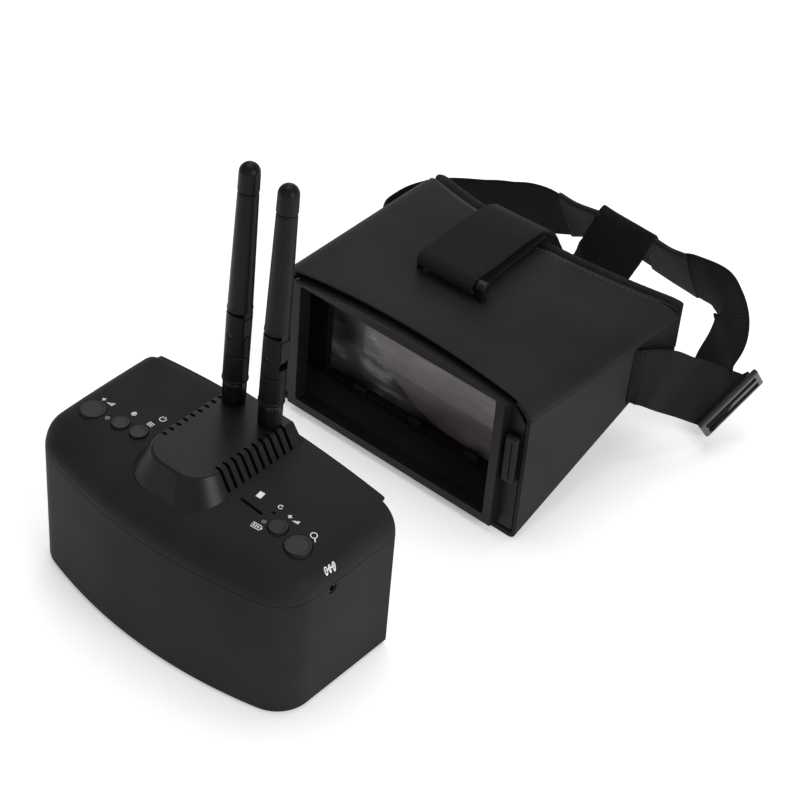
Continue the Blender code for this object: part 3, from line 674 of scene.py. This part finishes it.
def makeSigns():
    plus = [([(-1.3, 0), (1.3, 0)], 0.5), ([(0, -1.3), (0, 1.3)], 0.5)]
    bars = [([(-2.0 + k, -0.9), (-2.0 + k, -0.9 + 0.6 * (k + 1))], 0.55) for k in range(4)]
    ring = [(arcLine(0, 0, 1.2), 0.4)]
    dot = [(arcLine(0, 0, 0.3, 0, 360, 10), 0.6)]
    lines = [([(-1.7, h), (1.7, h)], 0.4) for h in (-1.0, 0.0, 1.0)]
    power = [(arcLine(0, 0, 1.5, 125, 415), 0.42), ([(0, 0.5), (0, 1.9)], 0.42)]
    glass = [(arcLine(-0.4, 0.4, 1.25), 0.4), ([(0.5, -0.5), (1.7, -1.7)], 0.5)]
    again = [(arcLine(0, 0, 1.05, 60, 350), 0.35), ([(0.2, 1.35), (0.75, 0.85), (0.1, 0.5)], 0.3)]
    battery = [([(-2.2, -1.2), (2.0, -1.2), (2.0, 1.2), (-2.2, 1.2), (-2.2, -1.2)], 0.35),
               ([(2.5, -0.6), (2.5, 0.6)], 0.5)] + [([(h, -0.7), (h, 0.7)], 0.5) for h in (-1.3, -0.2, 0.9)]
    polarity = [(arcLine(-3.1, 0, 1.0), 0.35), ([(-3.6, 0), (-2.6, 0)], 0.3), ([(-2.1, 0), (-1.0, 0)], 0.3),
                (arcLine(0, 0, 0.9, 40, 320), 0.35), (arcLine(0, 0, 0.25, steps=10), 0.4),
                ([(0.3, 0), (2.1, 0)], 0.3), (arcLine(3.1, 0, 1.0), 0.35),
                ([(2.6, 0), (3.6, 0)], 0.3), ([(3.1, -0.5), (3.1, 0.5)], 0.3)]
    card = [([(-1.3, 0), (1.3, 0)], 3.6)]
    marks = []
    for sign, x, y, angle, size in (
            (plus, -62.6, -38.0, -8, 0.85), (bars, -57.4, -38.6, -8, 0.95), (ring, -44.2, -37.4, -8, 0.9),
            (dot, -44.2, -37.4, -8, 1.0), (lines, -33.2, -38.0, -6, 0.95), (power, -31.6, -32.0, -6, 1.0),
            (card, 32.4, -37.4, 8, 1.0), (again, 43.0, -36.2, 8, 0.95), (plus, 49.4, -37.2, 8, 0.8),
            (bars, 53.4, -37.4, 8, 0.75), (glass, 63.6, -37.6, 8, 1.15), (battery, 43.2, -51.2, 8, 1.0),
            (polarity, 76.0, -41.0, 88, 0.75)):
        marks += [inkStroke(line, width) for line, width in turnedSign(sign, x, y, angle, size)]
    finishPiece(joined("printedSigns", marks), "module", whiteInk, "light_pipe")


makeSigns()
print("printed signs")


def makeAntenna(name, side):
    stand = (Matrix.Translation(Vector((side * antenna["x"], antenna["y"], antenna["base"])) * mm)
             @ Matrix.Rotation(-radians(antenna["lean"]), 4, "X"))
    pivot, radius, high = (antenna[key] for key in ("pivot", "radius", "nutTop"))
    gap, tongueHalf, tongueRadius = (antenna[key] for key in ("gap", "tongue", "tongueRadius"))
    hinge, hingeAxis = (0, 0, pivot), (0, 1, 0)
    swivel, whip = f"antenna_{name}_swivel", f"antenna_{name}_whip"

    def knurl(r, angle, height):
        return r - (0.22 * (0.5 + 0.5 * cos(24 * angle)) if 1.4 < height < 10.8 and r > 4.5 else 0.0)
    levels = [(5.4, 1.5 + (high - 2.5) * k / 6) for k in range(7)]
    nutProfile = [(0, -7.0), (3.1, -7.0), (3.1, 0.6), (5.2, 0.6), *levels, (5.2, high), (0, high)]
    nut = moved(turned(name + "Nut", nutProfile, segments=144, shape=knurl), stand)
    finishPiece(nut, "module", blackNickel, "plated_metal", f"antenna_{name}_nut")

    collar = rounded([(0, high + 0.3), (5.3, high + 0.3), (6.0, high + 0.7), (6.0, high + 1.5),
                      (radius, high + 2.0), (radius, 26.4), (radius - 0.3, 26.9), (radius, 27.4),
                      (radius, 29.0), (0, 29.0)], 0.3)
    fork = turned(name + "Fork", collar, segments=72)
    arms = peg("arms", radius, 28, pivot + 13, segments=72)
    dome = peg("dome", 11.5, -10, 10, hinge, hingeAxis, 96)
    below = block("below", (-11, -10, 20), (11, 10, pivot))
    cutAway(arms, cutAway(dome, below, "UNION"), "INTERSECT")
    cutAway(fork, arms, "UNION")
    # the gap is round about the pin, and open down to the tongue's sweep on the side it folds to
    cutAway(fork, peg("gap", tongueRadius + 0.25, -gap, gap, hinge, hingeAxis))
    cutAway(fork, block("gap", (-10, -gap, pivot), (10, gap, pivot + 20)))
    ends = sorted((0, side * 10))
    cutAway(fork, block("gap", (ends[0], -gap, pivot - tongueRadius - 0.2), (ends[1], gap, pivot + 1)))
    cutAway(fork, peg("pinHole", antenna["pin"], -10, 10, hinge, hingeAxis, 32))
    softEdges(fork, 0.25, 2, 35)
    finishPiece(moved(fork, stand), swivel, forkNylon, "antenna_plastic", f"antenna_{name}_fork")
    thick = antenna["pin"] - 0.1
    profile = rounded([(0, -5.3), (thick, -5.3), (thick, 5.3), (0, 5.3)], 0.3)
    pin = turned(name + "Pin", profile, hinge, hingeAxis, 32)
    finishPiece(moved(pin, stand), swivel, blackNickel, "plated_metal", f"antenna_{name}_pin")

    top, foot = antenna["top"], pivot + 12
    wall = rounded([(0, foot), (radius - 0.3, foot), (radius, foot + 0.6), (radius, foot + 1.6),
                    (radius - 0.2, foot + 2.2), (4.6, top - 1.2), (4.4, top - 0.4), (4.4, top),
                    (0, top)], 0.3)
    rod = turned(name + "Rod", wall, segments=72)
    tongue = peg("tongueEnd", tongueRadius, -tongueHalf, tongueHalf, hinge, hingeAxis)
    upper = block("tongue", (-tongueRadius, -tongueHalf, pivot), (tongueRadius, tongueHalf, pivot + 9))
    cutAway(tongue, upper, "UNION")
    neck = block("neck", (-5.0, -tongueHalf, pivot + 6), (5.0, tongueHalf, pivot + 13))
    cutAway(neck, peg("trim", tongueRadius, pivot - 8, pivot + 14, segments=48), "INTERSECT")
    cutAway(rod, cutAway(tongue, neck, "UNION"), "UNION")
    cutAway(rod, peg("pinHole", antenna["pin"], -10, 10, hinge, hingeAxis, 32))
    finishPiece(moved(rod, stand), whip, antennaTpe, "antenna_plastic", f"antenna_{name}_rod")

    dome = [(4.6 * cos(pi / 2 * k / 12), top + 8.8 + 4.6 * sin(pi / 2 * k / 12)) for k in range(12)]
    cap = turned(name + "Tip", [(0, top + 0.3), (4.4, top + 0.3), (4.7, top + 0.7), (4.7, top + 1.6), *dome,
                                (0, top + 13.4)], segments=72)
    finishPiece(moved(cap, stand), whip, antennaTpe, "antenna_plastic", f"antenna_{name}_tip")


for name, side in (("left", -1), ("right", 1)):
    makeAntenna(name, side)
print("antennas")


hood = {"half": 77.5, "flare": 3.5, "seam": 73.0, "crown": 87.5, "crownDrop": 6.0, "middle": 94.5,
        "temple": 113.5, "slope": 0.44, "wall": 2.2, "openHalf": 60.5, "openLow": 9.0, "openHigh": 79.0,
        "keel": 4.0, "nose": 21.0}


def hoodHalf(y):
    return hood["half"] + hood["flare"] * y / hood["temple"]


def hoodRear(x):
    return hood["middle"] + (hood["temple"] - hood["middle"]) * (x / 80) ** 2


def hoodTop(x, y):
    top = hood["crown"] - hood["crownDrop"] * (x / 70) ** 2
    part = max(0.0, 1 - (hoodHalf(y) - abs(x)) / 13)
    return hood["seam"] + (top - hood["seam"]) * max(0.0, 1 - part ** 2.4) ** (1 / 2.4)


# the bar that the top strap loops round; posts are their left and right faces from the strap's middle line
anchor = {"y": hoodY + 40.5, "z": 94.5, "foot": 81.0, "radius": 2.5, "knob": 3.2,
          "posts": ((-19.0, -17.2), (18.3, 21.7))}


def makeHoodTop():
    wall, low = hood["wall"], hood["seam"] + 0.3

    def outside(u, v):
        # the front and rear edges are pulled in a little, so that they catch the light as thin round lips
        side = sin((u * 2 - 1) * pi / 2)
        rear = hoodRear(side * 79)
        y = rear * (1 - cos(pi * v)) / 2
        x = side * hoodHalf(y)
        edge = max(0.0, 1 - min(y, rear - y) / 1.2)
        return x * (1 - 0.006 * edge ** 2), y + hoodY, max(hoodTop(x, y) - 0.25 * edge ** 2, low + 0.1)

    def inside(u, v):
        side = sin((u * 2 - 1) * pi / 2)
        y = -6 + (hoodRear(side * 79) + 12) * v
        half = hoodHalf(y)
        return side * (half - wall), y + hoodY, max(hoodTop(side * half, y) - wall, low - 3)
    roof = solidUnder("hoodTop", 120, 60, outside, low)
    cutAway(roof, solidUnder("hollow", 80, 20, inside, low - 8))

    def rebate(u, v):
        x = (shell["lipHalf"] + 0.4) * (u * 2 - 1)
        return x, hoodY - 5 + 8.2 * v, coverTop(x, 0) - 0.1
    cutAway(roof, solidUnder("rebate", 60, 2, rebate, low + 0.9))
    for near, far in anchor["posts"]:
        low, high = (strapX + near - 0.2, anchor["y"] - 2.3, 70), (strapX + far + 0.2, anchor["y"] + 2.3, 100)
        cutAway(roof, block("postHole", low, high))
    finishPiece(roof, "hood", softTouchAbs, "black_abs", "hood_top_shell", angle=38)


def makeHoodBottom():
    keel, seam = hood["keel"], hood["seam"]

    def spot(u, v):
        # across the trough: half of the floor, round the keel by turn, then up the side
        side, part = (1 if u > 0.5 else -1), abs(u * 2 - 1)
        half = hoodHalf(hoodRear(hood["half"] + 1.5) * v)
        turn = pi / 2 * min(max((part - 0.5) / 0.2, 0), 1)
        x = part / 0.5 * (half - keel) if part < 0.5 else half - keel + keel * sin(turn)
        y = hoodRear(x) * v
        z = hood["slope"] * y + keel * (1 - cos(turn))
        if part > 0.7:
            z += (seam - hood["slope"] * y - keel) * (part - 0.7) / 0.3
        return side * x, y + hoodY, z
    trough = formSheet("hoodBottom", 80, 48, spot)
    faceOut(weld(trough, close=False), (0, hoodY + 50, 70))
    useModifier(trough, "SOLIDIFY", thickness=hood["wall"] * mm, offset=-1.0, use_even_offset=True)
    cutAway(trough, block("front", (-100, hoodY - 6, -6), (100, hoodY, 90)))
    cutAway(trough, peg("nose", hood["nose"], 5, 62, (0, hoodY + hood["middle"] + 6, 0), segments=96))
    for side in (-1, 1):
        ends = sorted((side * 70, side * 90))
        cutAway(trough, block("slot", (ends[0], hoodY + 77.5, 39.6), (ends[1], hoodY + 83.5, 72.4), 1.0))
    finishPiece(trough, "hood", softTouchAbs, "black_abs", "hood_lower_shell", angle=38)


def crownLine(half, drop, steps=36):
    xs = [half - 2 * half * k / steps for k in range(steps + 1)]
    return [(x, hoodTop(x, 5) - drop) for x in xs]


def makeFrontFrame():
    low = hood["wall"] + 0.2 + hood["slope"] * 3.3 + 0.3
    outline = [(-74.6, low), (74.6, low), (74.6, 70), *crownLine(67, 3.7), (-74.6, 70)]
    frame = plate("frontFrame", outline, hoodY + 0.3, hoodY + 3.0, "Y")
    lip = plate("lip", [(-65.5, low), (65.5, low), *crownLine(65.5, 3.7)], hoodY - 5.0, hoodY + 3.0, "Y")
    cutAway(frame, lip, "UNION")
    half, bottom, top = (hood[key] for key in ("openHalf", "openLow", "openHigh"))
    cutAway(frame, block("opening", (-half, hoodY - 20, bottom), (half, hoodY + 20, top), 1.2, 4))
    softEdges(frame, 0.5, 3, 40)
    finishPiece(frame, "hood", satinAbs, "inner_plastic", "front_frame")
    for name, side in (("left", -1), ("right", 1)):
        ends = sorted((side * 66.2, side * 73.8))
        bar = block(name + "Catch", (ends[0], hoodY - 3.2, 34.0), (ends[1], hoodY, 62.0), 1.3, 5)
        grip = sorted((side * 70.6, side * 71.4))
        cutAway(bar, block("groove", (grip[0], hoodY - 4, 37), (grip[1], hoodY - 2.7, 59)))
        finishPiece(bar, "hood", satinAbs, "inner_plastic", "catch_" + name)


lensSheet = {"half": 62.9, "low": 13.5, "high": 78.9, "behind": 22.3, "thick": 1.3}


def makeLens():
    outline = [(-73, 12.4), (73, 12.4), (73, 70), (62, 79.4), (-62, 79.4), (-73, 70)]
    frame = plate("lensFrame", outline, hoodY + 17.0, hoodY + 20.6, "Y")
    window = (-60, hoodY, 15.5), (60, hoodY + 40, 77)
    cutAway(frame, block("window", *window, 2.0, 4))
    for x in (-36, 0, 36):
        tab = block("tab", (x - 4, hoodY + 15.2, 13.0), (x + 4, hoodY + 18.0, 19.0), 0.7)
        cutAway(frame, tab, "UNION")
    softEdges(frame, 0.4, 2, 40)
    finishPiece(frame, "hood", satinAbs, "inner_plastic", "lens_frame")

    half, low, high = (lensSheet[key] for key in ("half", "low", "high"))

    def spot(u, v):
        return half * (u * 2 - 1), hoodY + lensSheet["behind"], low + (high - low) * v
    lens = formSheet("fresnelLens", 40, 20, spot)
    useModifier(lens, "SOLIDIFY", thickness=lensSheet["thick"] * mm, offset=1.0)
    pick(lens)
    if lens.data.polygons[0].normal.y < 0:
        lens.data.flip_normals()
    finishPiece(weld(lens, close=False), "hood", groovedAcrylic, "lens_acrylic", "fresnel_lens", angle=20)


def faceLine(share, inset):
    # a closed line round the face opening, share from 0 to 1; inset is how far in from the casing
    half = 79.5 - inset
    if share < 0.5:
        x = half - 4 * half * share
        return x, hoodTop(x * 79 / 80, 100) - inset
    x = 4 * half * (share - 0.5) - half
    floorZ = hood["slope"] * hoodRear(x) + inset
    return x, floorZ + 14.0 * sqrt(max(0.0, 1 - (x / 24) ** 2))


def roundTheFace(name, sections, columns=180):
    # sections: (inset, behind) in mm round the rim's own cross-section, a closed loop
    def spot(u, v):
        inset, behind = sections[round(v * len(sections)) % len(sections)]
        # points crowd together where the line turns at its two ends
        share = (round(u * columns) % columns) / columns
        eased = (1 - cos(2 * pi * (share % 0.5))) / 4 + (0.5 if share >= 0.5 else 0.0)
        x, z = faceLine(eased, inset)
        return x, hoodRear(x) + behind + hoodY, z
    return weld(formSheet(name, columns, len(sections), spot), close=False)


foamRib = {"pitch": 3.4, "height": 0.14}  # mm along the rim and mm high
stitching = {"count": 52, "half": 70}


def makeFaceParts():
    rim = roundTheFace("faceRim", [(1.0, 0.4), (1.0, 2.0), (9.0, 2.0), (9.0, 0.4)])
    finishPiece(rim, "hood", satinAbs, "inner_plastic", "face_rim")
    pad = []
    for k in range(28):
        # a crowned cushion: full towards the face, pulled in where it is sewn to the rim
        angle = 2 * pi * k / 28
        pad.append((6.6 - 5.0 * cos(angle) * (1 - 0.12 * sin(angle)), 7.3 + 4.9 * sin(angle)))
    foam = roundTheFace("faceFoam", pad, 360)
    centre = Vector((0, hoodY + 105, 62)) * mm
    for vert in foam.data.vertices:
        rib = foamRib["height"] * cos(2 * pi * vert.co.x / (foamRib["pitch"] * mm)) * mm
        vert.co += (vert.co - centre).normalized() * rib
    finishPiece(foam, "hood", foamCloth, "face_foam", "face_foam", angle=60)
    stitches = []
    for k in range(stitching["count"]):
        x = stitching["half"] * (2 * k / (stitching["count"] - 1) - 1)
        y, z = hoodRear(x) - 1.6, hoodTop(x, 90)
        thread = [(0, -0.75), (0.28, -0.6), (0.36, 0.0), (0.28, 0.6), (0, 0.75)]
        stitches.append(turned("stitch", thread, (x, y + hoodY, z + 0.02), (1, 0, 0), 8))
    seam = joined("rearStitches", stitches)
    finishPiece(seam, "hood", stitchThread, "face_foam")


webbing = {"width": 34.0, "thick": 1.5, "edge": 0.55, "sideWidth": 32.4}


def spline(keys, t):
    # smooth run through the keys (Catmull-Rom)
    k = min(int(t), len(keys) - 2)
    f = t - k
    p0, p1, p2, p3 = (keys[max(0, min(len(keys) - 1, k + d))] for d in (-1, 0, 1, 2))
    return 0.5 * (2 * p1 + (p2 - p0) * f + (2 * p0 - 5 * p1 + 4 * p2 - p3) * f * f
                  + (3 * p1 - p0 - 3 * p2 + p3) * f ** 3)


def makeWebbing(name, stations, width, steps=10):
    # stations: centre and the direction across the strap, in the hood's own mm
    centres = [Vector(spot) for spot, across in stations]
    acrosses = [Vector(across).normalized() for spot, across in stations]
    rows = (len(stations) - 1) * steps
    line, frames, length = [], [], [0.0]
    for r in range(rows + 1):
        t = min(r / steps, len(stations) - 1 - 1e-6)
        line.append(spline(centres, t))
        frames.append(spline(acrosses, t).normalized())
        if r:
            length.append(length[-1] + (line[-1] - line[-2]).length)
    half, thick, edge = width / 2, webbing["thick"] / 2, webbing["edge"]
    loop = [(-half + 2 * half * k / 12, thick) for k in range(1, 12)]
    loop = [(-half + edge, thick), *loop, (half - edge, thick), (half, thick * 0.4), (half, -thick * 0.4),
            (half - edge, -thick), *[(x, -z) for x, z in reversed(loop)], (-half + edge, -thick),
            (-half, -thick * 0.4), (-half, thick * 0.4)]

    def spot(u, v):
        r = round(v * rows)
        side, lift = loop[round(u * len(loop)) % len(loop)]
        ahead = (line[min(r + 1, rows)] - line[max(r - 1, 0)]).normalized()
        across = (frames[r] - ahead * frames[r].dot(ahead)).normalized()
        up = ahead.cross(across)
        return line[r] + across * side + up * lift + Vector((0, hoodY, 0))
    strap = formSheet(name, len(loop), rows, spot)
    # the strap's own map: along and across in metres, so that the weave follows it
    layer = strap.data.uv_layers.active.data
    for face in strap.data.polygons:
        for corner in face.loop_indices:
            u, v = layer[corner].uv
            side = loop[round(u * len(loop)) % len(loop)][0]
            layer[corner].uv = (length[round(v * rows)] * mm, side * mm)
    return weld(strap)


def makeStraps():
    width = webbing["width"]
    level = ((-9.4, 97, 92.0), (-8.6, 84, 91.3), (-7.6, 64, 90.5), (-6.6, 48, 90.0), (-6.3, 41, 90.2),
             (-6.2, 37.6, 91.2), (-6.2, 36.2, 93.7), (-6.2, 37.6, 96.2), (-6.5, 42, 97.5),
             (-7.2, 58, 97.5))
    top = [(place, (1, 0, 0)) for place in level]
    top += [((-8.6, 78, 97.4), (1, 0.05, 0)), ((-9.9, 93, 95.8), (1, 0.05, 0)),
            ((-10.5, 101, 92.7), (1, 0.05, 0)), ((-10.7, 108.2, 87), (1, 0.04, 0)),
            ((-9.6, 113.5, 77), (1, 0.04, 0.02)), ((-7, 121, 62), (1, 0.02, 0.05)),
            ((-3, 132, 48), (1, 0, 0.1)), ((2.5, 143, 43), (1, 0, 0.13)),
            ((9.5, 149.0, 50.5), (1, 0, 0.13)), ((14.5, 151.6, 63), (1, 0, 0.05)),
            ((18.2, 153.1, 74.6), (1, 0, -0.05)), ((19.0, 155.4, 79.0), (1, 0, -0.05)),
            ((18.8, 158.3, 76.6), (1, 0, -0.05)), ((17.4, 162.4, 70.4), (1, 0, 0))]
    rear = [((-79.6, 80.0, 56.0), (0, 0, 1)), ((-82.6, 83.0, 56.0), (0, 0, 1)),
            ((-86.5, 92, 55), (0, 0, 1)), ((-88.5, 112, 52), (0.0, 0, 1)),
            ((-84.0, 134, 49), (0.05, -0.05, 1)), ((-68.0, 151, 49), (0.08, -0.15, 1)),
            ((-50.0, 157, 53.4), (0.1, -0.2, 1)), ((-35, 159, 58), (3.8, -7.6, 32.9)),
            ((-22, 160.5, 60.2), (6, -12, 30)), ((-10, 162, 61.8), (10, -17, 27)),
            ((3, 163, 62.8), (12, -17, 27)), ((14, 163.5, 63.4), (13, -16, 27)),
            ((30, 163.5, 62.2), (15, -15.5, 26)), ((45, 163, 60.8), (17, -15, 25)),
            ((57, 161.8, 61.6), (15, -14, 27)), ((67.6, 158.5, 65.2), (11.3, -13.1, 29.3)),
            ((79.5, 154.3, 66.8), (13.7, -9.6, 29.6)), ((86.4, 150.6, 65.2), (17, -9, 28)),
            ((90.6, 148, 61), (22.2, -10.4, 21)), ((92.0, 146, 53.5), (23, -12, 15)),
            ((90.8, 144.0, 43), (22, -15, 10)), ((91.2, 141.6, 34.0), (18, -4, 16)),
            ((94.6, 138.6, 27.6), (12, 14, 20)), ((99.8, 136.6, 24.4), (8, 21, 19)),
            ((105.0, 135.4, 22.2), (7, 22, 18.2))]
    side = [((79.2, 78.9, 56.2), (0, 0, 1)), ((82.0, 81.4, 56.2), (0, 0, 1)),
            ((84.6, 85.5, 55.2), (0.6, 3.5, 31)), ((87.9, 93.0, 51.6), (1.8, 9, 31)),
            ((90.6, 104.5, 43.0), (3.2, 15.5, 27.5)), ((95.1, 115.4, 36.0), (5, 22, 22)),
            ((100.4, 124.6, 29.6), (6.3, 22, 20.8)), ((105.2, 132.4, 24.4), (7, 22, 18.4)),
            ((107.4, 134.6, 22.3), (7, 22, 18.2))]
    for name, stations, wide, node in (("topStrap", top, width, "top_strap"),
                                       ("rearBand", rear, width, "rear_band"),
                                       ("sideStrap", side, webbing["sideWidth"], "side_strap")):
        strap = makeWebbing(name, stations, wide)
        finishPiece(strap, "hood", wovenElastic, "elastic_webbing", node, angle=50)
    # sleeves sewn over the band on both sides of the loop
    for name, stretch in (("leftSleeve", rear[8:11]), ("rightSleeve", rear[12:15])):
        sleeve = makeWebbing(name, stretch, width + 1.2)
        useModifier(sleeve, "DISPLACE", strength=0.7 * mm, mid_level=0.0)
        finishPiece(sleeve, "hood", sleeveCloth, "elastic_webbing", angle=50)


def makeAnchor():
    # the left end is tucked under the strap's edge, the right end is a round knob
    radius, knob, y, z = (anchor[key] for key in ("radius", "knob", "y", "z"))
    profile = rounded([(0, -17.9), (radius, -17.9), (radius, 17.2), (knob, 17.6), (knob, 22.6),
                       (0, 22.6)], 0.8)
    bar = turned("strapAnchor", profile, (strapX, y, z), (1, 0, 0), 48)
    for low, high in anchor["posts"]:
        post = block("post", (strapX + low, y - 2.1, anchor["foot"]), (strapX + high, y + 2.1, z), 0.7)
        cutAway(bar, post, "UNION")
    finishPiece(bar, "hood", satinAbs, "inner_plastic", "strap_anchor")


buckle = {"half": (11.5, 1.5, 20.0), "slotAt": 5.2, "slotHalf": 17.2, "place": (106.3, hoodY + 135.6, 22.2)}


def makeBuckle():
    half = Vector(buckle["half"])
    ladder = block("strapBuckle", -half, half, 1.1, 4)
    for x in (-buckle["slotAt"], buckle["slotAt"]):
        low, high = (x - 3.0, -5, -buckle["slotHalf"]), (x + 3.0, 5, buckle["slotHalf"])
        cutAway(ladder, block("slot", low, high, 0.9, 4))
    lengthwise = Vector((0.24, 0.75, 0.62)).normalized()
    outwards = Vector((-0.12, 0.66, -0.74))
    outwards = (outwards - lengthwise * outwards.dot(lengthwise)).normalized()
    face = lengthwise.cross(outwards)
    turn = Matrix((outwards, face, lengthwise)).transposed().to_4x4()
    moved(ladder, Matrix.Translation(Vector(buckle["place"]) * mm) @ turn)
    finishPiece(ladder, "hood", buckleNylon, "antenna_plastic", "strap_slider")


screen = {"half": 74.6, "margin": 2.6, "window": 54.5, "low": 11.5, "high": 76.0, "screws": (66, 8, 71)}


def makeScreen():
    half, margin, window = (screen[key] for key in ("half", "margin", "window"))
    xs = [half - 2 * half * k / 40 for k in range(41)]
    outline = [(-half, margin), (half, margin), *[(x, coverTop(x, -8) - margin) for x in xs]]
    bezel = softEdges(plate("screenBezel", outline, moduleY - 9, moduleY - 6, "Y"), 0.4, 2, 40)
    low, high = (-window, moduleY - 20, screen["low"]), (window, moduleY + 5, screen["high"])
    cutAway(bezel, block("window", low, high, 1.0))
    across, *heights = screen["screws"]
    for x in (-across, across):
        for z in heights:
            cutAway(bezel, peg("recess", 2.2, -1.2, 4, (x, moduleY - 6, z), (0, 1, 0), 32))
    finishPiece(bezel, "module", satinAbs, "inner_plastic", "screen_bezel")
    panel = block("screenPanel", (-60.5, moduleY - 13, 3.6), (60.5, moduleY - 9.3, 78.6), 0.5)
    finishPiece(panel, "module", panelGlass, "screen_glass", "lcd_panel")


makeHoodTop()
makeHoodBottom()
makeFrontFrame()
makeLens()
makeFaceParts()
print("hood")
makeStraps()
makeAnchor()
makeBuckle()
print("straps and buckle")
makeScreen()
print("screen")


def dress(material, *names):
    for name in names:
        nodes[name].data.materials.clear()
        nodes[name].data.materials.append(material)


dress(solderMask, "main_board", "button_board")
dress(shrinkFilm, "battery_pack")
dress(blackNickel, "receiver_left", "receiver_right", "card_socket", "strap_pin_left", "strap_pin_right",
      *[f"case_screw_{k}" for k in range(1, 5)])
dress(milkyWindow, "lamp_left", "lamp_right")

clearSelection()
bpy.ops.mesh.primitive_plane_add(size=8.0, location=(0.0, 0.0, -0.0005))
floor = bpy.context.object
floor.name = "floor"
paper = startFinish("whitePaper", "#F7F7F7", 0.9, Specular_IOR_Level=0.1,
                    Emission_Strength=0.3, Emission_Color=toLinear("#FFFFFF"))[0]
floor.data.materials.append(paper)
